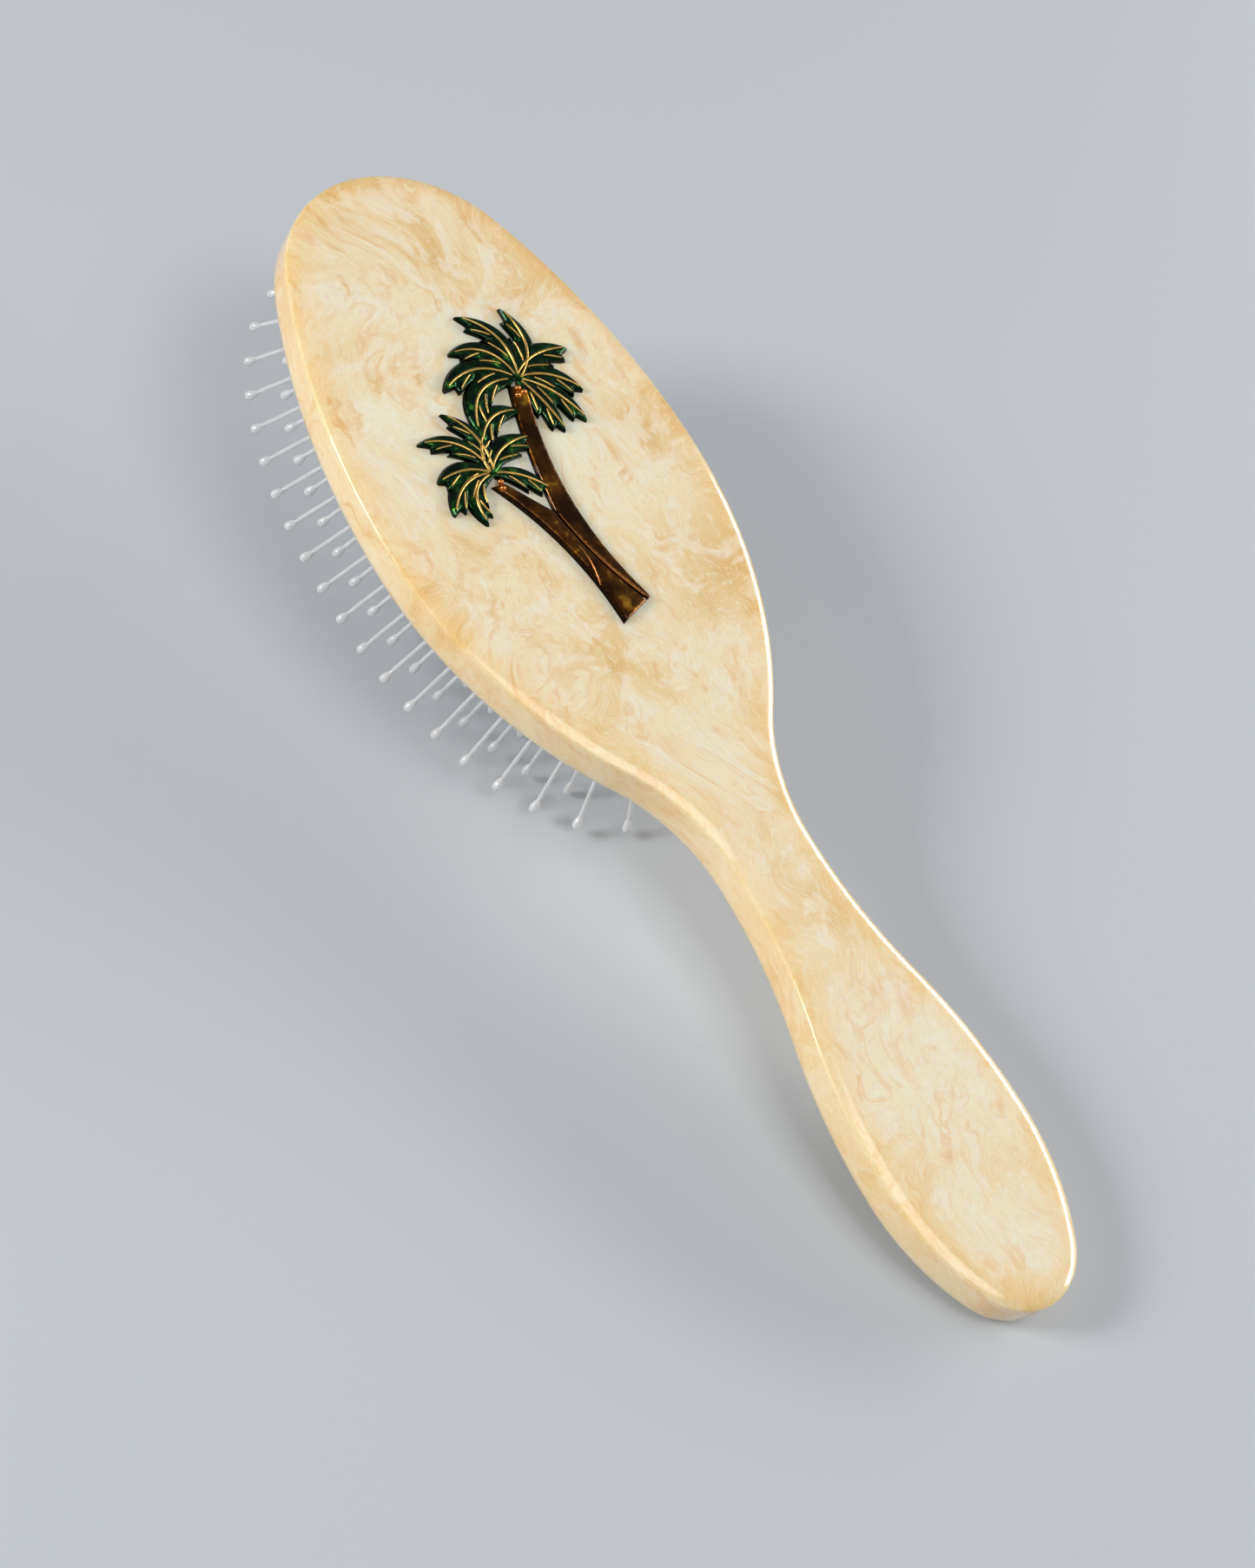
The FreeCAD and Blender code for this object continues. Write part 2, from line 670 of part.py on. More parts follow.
def build_emblem(slab):
    """The slab with its inlay recess, and every piece of the emblem that lies in it."""
    back = size("slab_thickness")
    floor = back - size("inlay_depth")
    plate_bottom = floor + size("glue_thickness")
    enamel_bottom = plate_bottom + size("plate_thickness")
    enamel = size("enamel_thickness")
    top = enamel_bottom + enamel
    margin = size("plate_margin")
    post_bottom = floor - size("post_length")

    recess = emblem_outline(margin + size("inlay_gap"), floor, size("inlay_depth") + 1.0)
    holes = post_shape(size("post_radius") + size("fit_gap"), post_bottom - size("fit_gap"),
                       floor + 0.5)
    tool = emblem_feature("inlay_recess", recess.fuse(holes.Solids))
    handle = boolean("Cut", "handle_body", slab, tool)

    glue = emblem_outline(margin, floor, size("glue_thickness"))
    pierced = glue.cut(post_shape(size("post_radius"), floor - 0.5, plate_bottom + 0.5))
    plate = emblem_outline(margin, plate_bottom, size("plate_thickness"))
    posts = post_shape(size("post_radius"), post_bottom, plate_bottom)
    nodes = [handle,
             emblem_feature("emblem_glue_film", pierced),
             emblem_feature("emblem_base_plate", plate),
             emblem_feature("emblem_posts", posts)]

    tall_trunk = bowed_prism(TALL_TRUNK, enamel_bottom, enamel)
    short_trunk = bowed_prism(SHORT_TRUNK, enamel_bottom, enamel)
    trunks = tall_trunk.fuse(short_trunk)
    tall = joined([leaf_prism(frond, enamel_bottom, enamel) for frond in TALL_FRONDS])
    short = joined([leaf_prism(frond, enamel_bottom, enamel) for frond in SHORT_FRONDS])
    nodes += [emblem_feature("tall_crown_enamel", tall.cut(trunks)),
              emblem_feature("short_crown_enamel", short.cut(trunks.fuse(tall))),
              emblem_feature("tall_trunk_enamel", tall_trunk),
              emblem_feature("short_trunk_enamel", short_trunk)]

    vein = size("vein_half_width")
    rise = size("vein_height")
    for name, fronds in [("tall_crown_veins", TALL_FRONDS), ("short_crown_veins", SHORT_FRONDS)]:
        wires = [leaf_prism(frond[:5] + (vein,), top, rise, 0.0, -size("vein_setback"))
                 for frond in fronds]
        nodes.append(emblem_feature(name, joined(wires)))
    seams = [leaf_prism(seam + (vein,), top, rise) for seam in SEAMS]
    nodes.append(emblem_feature("trunk_seams", Part.makeCompound(seams)))
    beads = [Part.makeSphere(size("bead_radius"), Vector(x, y, top), Vector(0, 0, 1), 0, 90, 360)
             for x, y in COCONUTS]
    nodes.append(emblem_feature("coconut_beads", Part.makeCompound(beads)))
    return nodes


# ---------------------------------------------------------------- rest placement

def rest_tilt(pins):
    """Angle in degrees at which the pins and the end of the handle meet one level surface."""
    bead = size("pin_bead_radius")
    centres = [pin.foot + pin.axis * (size("pin_length") - bead) for pin in pins]
    round_under = size("under_edge_radius")
    end_x = size("overall_length") - round_under

    def gap(angle):
        sine, cosine = math.sin(angle), math.cos(angle)
        lowest_pin = min(centre.z * cosine - centre.x * sine for centre in centres) - bead
        lowest_end = round_under * cosine - end_x * sine - round_under
        return lowest_pin - lowest_end

    low, high = 0.0, math.radians(30)
    for _ in range(60):
        middle = (low + high) / 2
        if gap(middle) < 0:
            low = middle
        else:
            high = middle
    return math.degrees(high)


def rest_placement(nodes, tilt):
    """Tilts the brush and brings the middle of its footprint's box to the origin."""
    turn = FreeCAD.Placement(Vector(), FreeCAD.Rotation(Vector(0, 1, 0), tilt))
    trial = Part.makeCompound([node.Shape for node in nodes])
    trial.Placement = turn
    box = trial.optimalBoundingBox(False, False)
    lift = FreeCAD.Placement(Vector(-(box.XMin + box.XMax) / 2, 0, -box.ZMin),
                             FreeCAD.Rotation())
    return lift.multiply(turn)


def main():
    """Builds every sub-part, stands them at rest, checks them and writes the files."""
    rings = {"pin_ring_%d" % number: plan_ring(number) for number in range(1, RING_COUNT + 1)}
    rings["pin_row_centre"] = plan_centre_row()
    pins = [pin for ring in rings.values() for pin in ring]
    vent = plan_vent()

    nodes = build_emblem(build_slab())
    nodes += [build_liner(), build_frame(), build_rubber(pins, vent), build_vent(vent)]
    nodes += [build_pins(name, ring) for name, ring in rings.items()]
    doc.recompute()

    tilt = rest_tilt(pins)
    rest = rest_placement(nodes, tilt)
    for node in nodes:
        node.Label = node.Name
        node.Placement = rest.multiply(node.Placement)
    doc.recompute()

    for item in doc.Objects:
        if "Invalid" in item.State or "Error" in item.State:
            raise RuntimeError("%s did not recompute: %s" % (item.Name, item.State))
    for node in nodes:
        if node.Shape.isNull() or not node.Shape.isValid() or not node.Shape.Solids:
            raise RuntimeError("%s has no valid shape" % node.Label)

    os.makedirs("parts", exist_ok=True)
    for node in nodes:
        node.Shape.exportStep("parts/%s.step" % node.Label)
        print("%-22s %3d solids %9.2f mm3" % (node.Label, len(node.Shape.Solids),
                                              node.Shape.Volume))
    place = rest.Base
    print("tilt %.6f rest %.6f %.6f %.6f" % (tilt, place.x, place.y, place.z))
    for name, ring in rings.items():
        shares = [dome_share(pin.foot.x, pin.foot.y) for pin in ring]
        print("ring %s pins %d share %.5f" % (name, len(ring), sum(shares) / len(shares)))


main()
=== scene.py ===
"""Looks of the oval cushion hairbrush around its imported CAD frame.

Shapes are made in the brush's own frame, in metres: X from the tip of the head to the end of
the handle, z = 0 on the slab's underside, pins towards -Z. REST brings that frame to the row
frame, where the brush stands on its pins and on the end of its handle.
"""

import bmesh
import bpy
import json
import math
from mathutils import Matrix, Vector


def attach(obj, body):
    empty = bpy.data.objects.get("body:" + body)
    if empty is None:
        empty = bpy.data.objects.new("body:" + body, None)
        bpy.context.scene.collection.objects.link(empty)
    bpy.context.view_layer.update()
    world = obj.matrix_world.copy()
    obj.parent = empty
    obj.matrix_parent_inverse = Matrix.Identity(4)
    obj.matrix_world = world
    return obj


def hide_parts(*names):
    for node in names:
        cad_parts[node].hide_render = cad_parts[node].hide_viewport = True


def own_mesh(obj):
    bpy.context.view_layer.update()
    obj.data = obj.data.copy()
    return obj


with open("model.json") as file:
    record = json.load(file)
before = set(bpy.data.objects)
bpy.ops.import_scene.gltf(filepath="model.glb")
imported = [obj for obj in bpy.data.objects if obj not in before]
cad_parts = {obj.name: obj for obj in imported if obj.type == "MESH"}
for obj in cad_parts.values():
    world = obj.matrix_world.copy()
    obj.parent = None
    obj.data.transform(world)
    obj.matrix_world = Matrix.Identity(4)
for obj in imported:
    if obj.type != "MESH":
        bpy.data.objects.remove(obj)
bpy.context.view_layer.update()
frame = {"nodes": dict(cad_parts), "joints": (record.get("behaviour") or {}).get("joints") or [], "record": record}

MM = 0.001

# ------------------------ driving sizes, millimetres

LENGTH = 220.0
NOSE_RADIUS = 25.0
HEAD_AT, HEAD_HALF = 65.5, 34.1
HEAD_REAR_RADIUS = 77.5
NECK_AT, NECK_HALF = 137.0, 8.6
GRIP_FRONT_RADIUS = 96.0
GRIP_AT, GRIP_HALF = 191.5, 16.5
END_RADIUS = 12.2
THICKNESS = 9.5
SHOULDER_WIDTH, SHOULDER_SLOPE = 2.8, 25.0
CREASE_ROUND = 0.45
UNDER_ROUND = 4.0

POCKET_AT = 60.5
POCKET_LONG, POCKET_WIDE = 53.0, 27.5
POCKET_DEPTH = 6.4
DOME = 5.0
SKIRT_GAP = 0.15
RUBBER = 1.3
COLLAR_UP, COLLAR_AT, COLLAR_WIDE = 0.32, 0.85, 0.42
DIMPLE_DOWN, DIMPLE_WIDE = 0.35, 0.45
FELT, FELT_INSET = 1.0, 1.0

PIN_LENGTH = 16.6
SHAFT_RADIUS = 0.4
BEAD_RADIUS = 0.85
BEAD_LENGTH = 2.6
PITCH = 5.6
RING_INSET, RING_STEP, RING_COUNT = 4.6, 5.72, 4
EDGE_SPLAY = 38.0

EMBLEM_AT = 60.0
PLATE_PROUD, PLATE_SUNK = 0.1, 0.5
PLATE_MARGIN, TRUNK_MARGIN = 0.12, 0.14
ENAMEL = 0.8
ENAMEL_SUNK = 0.05
TRUNK_ROUND, TRUNK_RISE, TRUNK_CROWN = 0.5, 0.72, 0.1
RIB_RADIUS, BARB_RADIUS, SEAM_RADIUS = 0.26, 0.19, 0.13
MOUNT_AT = 112.0


def rest_matrix():
    """The brush frame's place in the row frame, from the press joint and the back's mount."""
    press = next(joint for joint in frame["joints"] if joint["name"] == "cushion_press")
    up = Vector(press["axis"]).normalized()
    along = Vector((0, 1, 0)).cross(up).normalized()
    turn = Matrix((along, (0, 1, 0), up)).transposed()
    mount = next(m for m in frame["record"]["mounts"] if m["name"] == "back_face")
    mount_in_brush = Vector((MOUNT_AT, 0.0, THICKNESS)) * MM
    base = Vector(mount["pos_m"]) - turn @ mount_in_brush
    return Matrix.Translation(base) @ turn.to_4x4()


REST = rest_matrix()


# ------------------------ mesh helpers

def piece(name, verts, faces, body, material, smooth_angle=None):
    """A mesh object in the brush frame, riding on a body."""
    mesh = bpy.data.meshes.new(name)
    mesh.from_pydata([tuple(v) for v in verts], [], faces)
    mesh.validate()
    mesh.update()
    tidy = bmesh.new()
    tidy.from_mesh(mesh)
    bmesh.ops.recalc_face_normals(tidy, faces=tidy.faces)
    tidy.to_mesh(mesh)
    tidy.free()
    mesh.shade_smooth()
    if smooth_angle is not None:
        mesh.set_sharp_from_angle(angle=math.radians(smooth_angle))
    thing = bpy.data.objects.new(name, mesh)
    bpy.context.scene.collection.objects.link(thing)
    thing.matrix_world = REST
    thing.data.materials.append(material)
    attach(thing, body)
    return thing


class Shell:
    """Vertices and faces gathered from several parts of one piece."""

    def __init__(self):
        self.verts = []
        self.faces = []

    def add(self, verts, faces):
        """Appends one part."""
        start = len(self.verts)
        self.verts.extend(verts)
        self.faces.extend([tuple(start + index for index in face) for face in faces])

    def points(self, verts):
        """Appends vertices only and returns their numbers."""
        start = len(self.verts)
        self.verts.extend(verts)
        return list(range(start, len(self.verts)))


def bridge(shell, first, second):
    """Quads between two closed loops of the same length."""
    count = len(first)
    for index in range(count):
        after = (index + 1) % count
        shell.faces.append((first[index], first[after], second[after], second[index]))


def bridge_all(shell, loops):
    """Quads between each loop and the next."""
    for first, second in zip(loops, loops[1:]):
        bridge(shell, first, second)


def closed_rows(shell, rows):
    """A closed bar from rows of points that each run once round it."""
    bridge_all(shell, rows)
    shell.faces.append(tuple(rows[0]))
    shell.faces.append(tuple(rows[-1]))


def store(thing, name, values):
    """Stores one value per vertex on a mesh object, for its material."""
    made = thing.data.attributes.new(name, "FLOAT", "POINT")
    made.data.foreach_set("value", values)


def tube(points, radii, sides=8):
    """A tapered tube along a line of points, with flat closed ends."""
    verts, faces = [], []
    reference = Vector((0, 0, 1))
    for index, point in enumerate(points):
        before = points[max(index - 1, 0)]
        after = points[min(index + 1, len(points) - 1)]
        way = (after - before).normalized()
        across = way.cross(reference)
        if across.length < 1e-6:
            across = way.cross(Vector((0, 1, 0)))
        across.normalize()
        upward = across.cross(way)
        for side in range(sides):
            angle = 2 * math.pi * side / sides
            verts.append(point + (across * math.cos(angle) + upward * math.sin(angle))
                         * radii[index])
    for index in range(len(points) - 1):
        for side in range(sides):
            after = (side + 1) % sides
            low, high = index * sides, (index + 1) * sides
            faces.append((low + side, low + after, high + after, high + side))
    faces.append(tuple(reversed(range(sides))))
    faces.append(tuple(range(len(verts) - sides, len(verts))))
    return verts, faces


def lathe(profile, sides=16):
    """A closed surface turned about Z from (radius, height) pairs that start and end at 0."""
    verts, faces = [Vector((0, 0, profile[0][1]))], []
    for radius, height in profile[1:-1]:
        for side in range(sides):
            angle = 2 * math.pi * side / sides
            verts.append(Vector((radius * math.cos(angle), radius * math.sin(angle), height)))
    verts.append(Vector((0, 0, profile[-1][1])))
    rings = len(profile) - 2
    last = len(verts) - 1
    for side in range(sides):
        after = (side + 1) % sides
        faces.append((0, 1 + after, 1 + side))
        for ring in range(rings - 1):
            low, high = 1 + ring * sides, 1 + (ring + 1) * sides
            faces.append((low + side, low + after, high + after, high + side))
        low = 1 + (rings - 1) * sides
        faces.append((low + side, low + after, last))
    return verts, faces


# ------------------------ slab

def inner_tangent_radius(top, centre_x, radius):
    """Radius of an arc with a level top point that a smaller circle on X touches from inside."""
    across = top[0] - centre_x
    return (across ** 2 + top[1] ** 2 - radius ** 2) / (2 * (top[1] - radius))


def outer_tangent_radius(bottom, centre, radius):
    """Radius of a hollow arc with a level bottom point that touches a circle from outside."""
    across = bottom[0] - centre[0]
    rise = bottom[1] - centre[1]
    return (across ** 2 + rise ** 2 - radius ** 2) / (2 * (radius - rise))


def half_outline(step=0.9):
    """Points and outward normals of the upper half outline, from the nose to the handle's end."""
    nose = Vector((NOSE_RADIUS, 0))
    end = Vector((LENGTH - END_RADIUS, 0))
    head = Vector((HEAD_AT, HEAD_HALF))
    neck = Vector((NECK_AT, NECK_HALF))
    grip = Vector((GRIP_AT, GRIP_HALF))
    head_front = inner_tangent_radius(head, nose.x, NOSE_RADIUS)
    grip_rear = inner_tangent_radius(grip, end.x, END_RADIUS)
    rear_centre = head - Vector((0, HEAD_REAR_RADIUS))
    front_centre = grip - Vector((0, GRIP_FRONT_RADIUS))
    neck_front = outer_tangent_radius(neck, rear_centre, HEAD_REAR_RADIUS)
    neck_rear = outer_tangent_radius(neck, front_centre, GRIP_FRONT_RADIUS)
    hollow_front = neck + Vector((0, neck_front))
    hollow_rear = neck + Vector((0, neck_rear))
    head_centre = head - Vector((0, head_front))
    grip_centre = grip - Vector((0, grip_rear))
    nose_to_head = towards(head_centre, nose, head_front)
    head_to_neck = towards(rear_centre, hollow_front, HEAD_REAR_RADIUS)
    neck_to_grip = towards(front_centre, hollow_rear, GRIP_FRONT_RADIUS)
    grip_to_end = towards(grip_centre, end, grip_rear)
    arcs = [
        (nose, Vector((0, 0)), nose_to_head, 1),
        (head_centre, nose_to_head, head, 1),
        (rear_centre, head, head_to_neck, 1),
        (hollow_front, head_to_neck, neck, -1),
        (hollow_rear, neck, neck_to_grip, -1),
        (front_centre, neck_to_grip, grip, 1),
        (grip_centre, grip, grip_to_end, 1),
        (end, grip_to_end, Vector((LENGTH, 0)), 1),
    ]
    places = []
    for centre, start, stop, side in arcs:
        first = math.atan2(start.y - centre.y, start.x - centre.x)
        last = math.atan2(stop.y - centre.y, stop.x - centre.x)
        turn = (last - first + math.pi) % (2 * math.pi) - math.pi
        radius = (start - centre).length
        count = max(3, round(abs(turn) * radius / step))
        for number in range(count):
            angle = first + turn * number / count
            way = Vector((math.cos(angle), math.sin(angle)))
            places.append((centre + way * radius, way * side))
    places.append((Vector((LENGTH, 0)), Vector((1, 0))))
    return places


def towards(centre, target, radius):
    """The point of a circle on the ray from its centre towards another point."""
    return centre + (target - centre).normalized() * radius


def edge_profile():
    """Inset and height pairs: the back's soft shoulder, its crease, the side, the underside."""
    slope = math.radians(SHOULDER_SLOPE)
    shoulder = SHOULDER_WIDTH / math.sin(slope)
    crease_inset = CREASE_ROUND * (1 - math.sin(slope))
    crease_drop = CREASE_ROUND * math.cos(slope)
    flat_inset = SHOULDER_WIDTH + crease_inset
    pairs = [(flat_inset + 1.0, THICKNESS)]
    for number in range(9):
        angle = slope * number / 8
        pairs.append((flat_inset - shoulder * math.sin(angle),
                      THICKNESS - shoulder * (1 - math.cos(angle))))
    fall = THICKNESS - shoulder * (1 - math.cos(slope))
    for number in range(1, 7):
        angle = slope + (math.pi / 2 - slope) * number / 6
        pairs.append((CREASE_ROUND * (1 - math.sin(angle)),
                      fall - crease_drop + CREASE_ROUND * math.cos(angle)))
    for share in (0.33, 0.67):
        pairs.append((0.0, fall - crease_drop + (UNDER_ROUND - fall + crease_drop) * share))
    for number in range(9):
        angle = math.pi / 2 * number / 8
        pairs.append((UNDER_ROUND * (1 - math.cos(angle)),
                      UNDER_ROUND * (1 - math.sin(angle))))
    pairs.append((UNDER_ROUND + 0.25, 0.0))
    return pairs


def loop_at(places, inset, height):
    """The closed outline moved in by an inset at one height: upper half, then lower half."""
    upper = [(p - n * inset) for p, n in places]
    line = [Vector((p.x, p.y, height)) * MM for p in upper]
    line += [Vector((p.x, -p.y, height)) * MM for p in upper[-2:0:-1]]
    return line


def cross_grid(shell, loop, first, last, divisions):
    """Fills between the upper and lower halves of a loop from station first to last."""
    total = len(loop)
    rows = []
    for station in range(first, last + 1):
        top = loop[station]
        bottom = loop[(total - station) % total]
        if top == bottom:
            rows.append([top])
            continue
        a, b = shell.verts[bottom], shell.verts[top]
        inner = [a.lerp(b, number / divisions) for number in range(1, divisions)]
        rows.append([bottom] + shell.points(inner) + [top])
    for before, after in zip(rows, rows[1:]):
        if len(before) == 1:
            shell.faces.extend((before[0], after[k + 1], after[k]) for k in range(divisions))
        elif len(after) == 1:
            shell.faces.extend((before[k], before[k + 1], after[0]) for k in range(divisions))
        else:
            shell.faces.extend((before[k], before[k + 1], after[k + 1], after[k])
                               for k in range(divisions))
    return rows


def oval(inset, angle, height):
    """A point of the pocket's oval moved in by an inset."""
    return Vector((POCKET_AT + (POCKET_LONG - inset) * math.cos(angle),
                   (POCKET_WIDE - inset) * math.sin(angle), height)) * MM


def oval_loop(inset, height, sides):
    """Evenly turned points of the pocket's oval moved in by an inset."""
    return [oval(inset, 2 * math.pi * number / sides, height) for number in range(sides)]


def build_slab(material):
    """The acetate slab with rounded edges and the oval pocket, as one closed mesh."""
    places = half_outline()
    shell = Shell()
    loops = [shell.points(loop_at(places, inset, height)) for inset, height in edge_profile()]
    bridge_all(shell, loops)
    stations = len(places) - 1
    cross_grid(shell, loops[0], 0, stations, divisions=44)
    under = loops[-1]
    split = next(index for index, (p, _) in enumerate(places)
                 if p.x > POCKET_AT + POCKET_LONG + 8.0)
    rows = cross_grid(shell, under, split, stations, divisions=24)
    ring = [under[-k] for k in range(split, 0, -1)] + under[:split]
    ring += rows[0][::-1][:-1]
    angles = []
    for number in ring:
        place = shell.verts[number] / MM
        angles.append(math.atan2(place.y / POCKET_WIDE, (place.x - POCKET_AT) / POCKET_LONG))
    rings = [ring]
    for share in (0.2, 0.4, 0.6, 0.8, 1.0):
        rings.append(shell.points([shell.verts[number].lerp(oval(-0.6, angle, 0.0), share)
                                   for number, angle in zip(ring, angles)]))
    mouth = [(-0.35, 0.06), (-0.12, 0.24), (0.0, 0.6), (0.0, POCKET_DEPTH), (1.5, POCKET_DEPTH)]
    for inset, height in mouth:
        rings.append(shell.points([oval(inset, angle, height) for angle in angles]))
    bridge_all(shell, rings)
    shell.faces.append(tuple(rings[-1]))
    slab = piece("slab_body", shell.verts, shell.faces, "handle", material, 40)
    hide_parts("handle_body")
    return slab


# ------------------------ pins and cushion

def dome_share(x, y):
    """Share of the dome's full height at a point over the pocket."""
    long_half = POCKET_LONG - SKIRT_GAP
    wide_half = POCKET_WIDE - SKIRT_GAP
    return math.sqrt(max(0.0, 1 - ((x - POCKET_AT) / long_half) ** 2 - (y / wide_half) ** 2))


def pin_at(x, y, outward, splay):
    """Foot and axis of a pin on the dome, leaning outward by the splay in degrees."""
    lean = math.radians(splay)
    axis = outward * math.sin(lean) - Vector((0, 0, math.cos(lean)))
    return Vector((x, y, -DOME * dome_share(x, y))), axis


def ring_places(inset, count, phase):
    """Evenly spaced places and outward ways along the oval inside the pocket's edge."""
    major, minor = POCKET_LONG - inset, POCKET_WIDE - inset
    steps = 720
    run = [0.0]
    for step in range(steps):
        first, second = (2 * math.pi * number / steps for number in (step, step + 1))
        run.append(run[-1] + math.hypot(major * (math.cos(second) - math.cos(first)),
                                        minor * (math.sin(second) - math.sin(first))))
    places = []
    for number in range(count):
        target = run[-1] * ((number + phase) % count) / count
        step = next(index for index in range(steps) if run[index + 1] >= target)
        share = (target - run[step]) / (run[step + 1] - run[step])
        angle = 2 * math.pi * (step + share) / steps
        outward = Vector((math.cos(angle) / major, math.sin(angle) / minor, 0)).normalized()
        places.append((POCKET_AT + major * math.cos(angle), minor * math.sin(angle), outward))
    return places, run[-1]


def plan_pins():
    """Pins of each body: four rings and the centre row."""
    plans = {}
    for number in range(1, RING_COUNT + 1):
        inset = RING_INSET + (number - 1) * RING_STEP
        count = round(ring_places(inset, 1, 0.0)[1] / PITCH)
        splay = EDGE_SPLAY * (RING_COUNT + 1 - number) / RING_COUNT
        places, _ = ring_places(inset, count, 0.5 if number % 2 else 0.0)
        plans[f"pin_ring_{number}"] = [pin_at(x, y, way, splay) for x, y, way in places]
    inner = POCKET_LONG - RING_INSET - (RING_COUNT - 1) * RING_STEP - PITCH
    reach = int(inner / PITCH)
    plans["pin_row_centre"] = [pin_at(POCKET_AT + number * PITCH, 0.0, Vector((1, 0, 0)), 0.0)
                               for number in range(-reach, reach + 1)]
    return plans


def pin_profile():
    """Radius and height pairs of a pin: head under the rubber, shaft, pinched neck, drop."""
    neck = PIN_LENGTH - BEAD_LENGTH
    widest = PIN_LENGTH - BEAD_RADIUS
    pairs = [(0.0, -2.8), (1.1, -2.8), (1.2, -2.7), (1.2, -2.3), (1.1, -2.2),
             (SHAFT_RADIUS, -2.1), (SHAFT_RADIUS, 4.0), (SHAFT_RADIUS, neck - 0.35),
             (0.3, neck - 0.05)]
    for share in (0.12, 0.3, 0.5, 0.72, 1.0):
        radius = 0.3 + (BEAD_RADIUS - 0.3) * math.sin(share * math.pi / 2) ** 0.9
        pairs.append((radius, neck + (widest - neck) * share))
    for degrees in (25, 48, 68):
        angle = math.radians(degrees)
        pairs.append((BEAD_RADIUS * math.cos(angle), widest + BEAD_RADIUS * math.sin(angle)))
    pairs.append((0.0, PIN_LENGTH))
    return pairs


def build_pins(plans, material):
    """One piece of separate pins for each pin body."""
    verts, faces = lathe(pin_profile(), 14)
    for name, pins in plans.items():
        shell = Shell()
        for foot, axis in pins:
            turn = Vector((0, 0, 1)).rotation_difference(axis).to_matrix()
            shell.add([(foot + turn @ vert) * MM for vert in verts], faces)
        pin_set = piece(name + "_pins", shell.verts, shell.faces, name, material, 50)
        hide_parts(name)


def collar_height(x, y, feet):
    """How far the rubber stands up round the nearest pin, in millimetres."""
    near = min(math.hypot(x - foot.x, y - foot.y) for foot in feet)
    collar = COLLAR_UP * math.exp(-((near - COLLAR_AT) / COLLAR_WIDE) ** 2)
    return collar - DIMPLE_DOWN * math.exp(-(near / DIMPLE_WIDE) ** 2)


def build_membrane(plans, material):
    """The rubber dome with a low collar round each pin, and its flange in the slab's groove."""
    feet = [foot for pins in plans.values() for foot, _ in pins]
    long_half, wide_half = POCKET_LONG - SKIRT_GAP, POCKET_WIDE - SKIRT_GAP
    shell = Shell()
    sides = 300
    rings = 44

    def dome_loop(share, inset, height):
        a, b = (long_half - inset) * share, (wide_half - inset) * share
        drop = height * math.sqrt(max(0.0, 1 - share ** 2))
        line = []
        for number in range(sides):
            angle = 2 * math.pi * number / sides
            x, y = POCKET_AT + a * math.cos(angle), b * math.sin(angle)
            collar = collar_height(x, y, feet) if inset == 0 and share < 0.97 else 0.0
            line.append(Vector((x, y, -drop - collar)) * MM)
        return line

    def cap(inset, height, shares):
        loops = [shell.points(dome_loop(share, inset, height)) for share in shares]
        bridge_all(shell, loops)
        return loops

    shares = [math.sin(math.pi / 2 * number / rings) for number in range(1, rings + 1)]
    even = [number / rings for number in range(1, rings)]
    outer_shares = sorted(set(round(s, 4) for s in even + shares[-8:]))
    outer = cap(0.0, DOME, outer_shares)
    inner = cap(RUBBER, DOME - RUBBER, shares[::2])
    for first, height in ((outer[0], -DOME), (inner[0], RUBBER - DOME)):
        centre = shell.points([Vector((POCKET_AT, 0, height)) * MM])[0]
        shell.faces.extend((first[k], first[(k + 1) % sides], centre) for k in range(sides))
    bridge(shell, outer[-1], inner[-1])
    dome = piece("cushion_dome", shell.verts, shell.faces, "handle", material,
                 60)
    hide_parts("cushion_membrane")
    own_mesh(dome)

    section = [(0.15, 0.02), (0.15, 1.3), (-1.4, 1.3), (-1.4, 2.7), (1.45, 2.7), (1.45, 0.02)]
    flange = Shell()
    loops = [flange.points(oval_loop(inset, height, sides)) for inset, height in section]
    bridge_all(flange, loops + loops[:1])
    piece("cushion_flange", flange.verts, flange.faces, "handle", material,
          40)


def build_liner(material):
    """The thin felt pad on the pocket's floor, with soft edges."""
    shell = Shell()
    sides = 160
    top, bottom = POCKET_DEPTH - 0.02, POCKET_DEPTH - FELT
    section = [(0.5, top), (0.06, top - 0.1), (0.0, (top + bottom) / 2), (0.06, bottom + 0.1),
               (0.5, bottom), (6.0, bottom - 0.12)]
    loops = [shell.points(oval_loop(FELT_INSET + inset, height, sides))
             for inset, height in section]
    closed_rows(shell, loops)
    liner = piece("felt_liner", shell.verts, shell.faces, "handle", material, 50)
    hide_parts("cushion_liner")


# ------------------------ emblem

# A frond runs from its root to its tip: root x, y, tip x, y, bow to the left of that way,
# half width, lobes on its hollow side. Millimetres on the back, from the emblem's origin.
TALL_FRONDS = [
    (-15.2, 6.2, -29.6, 1.9, -3.0, 2.5, 2),
    (-15.2, 6.2, -28.9, 11.3, -3.0, 2.25, 2),
    (-15.2, 6.2, -17.9, 19.8, 1.5, 2.76, 2),
    (-15.2, 6.2, -9.6, 17.8, 1.5, 2.5, 2),
    (-15.2, 6.2, -4.1, 14.9, 1.2, 2.37, 2),
    (-15.2, 6.2, -3.6, 9.6, 0.3, 2.25, 2),
    (-15.2, 6.2, -23.2, -3.5, -2.8, 2.5, 2),
    (-15.2, 6.2, -17.1, -8.4, -2.6, 2.63, 2),
    (-15.2, 5.5, -7.9, -6.8, -3.2, 2.76, 3),
    (-9.6, 2.6, -6.0, -7.6, -1.8, 2.5, 2),
]
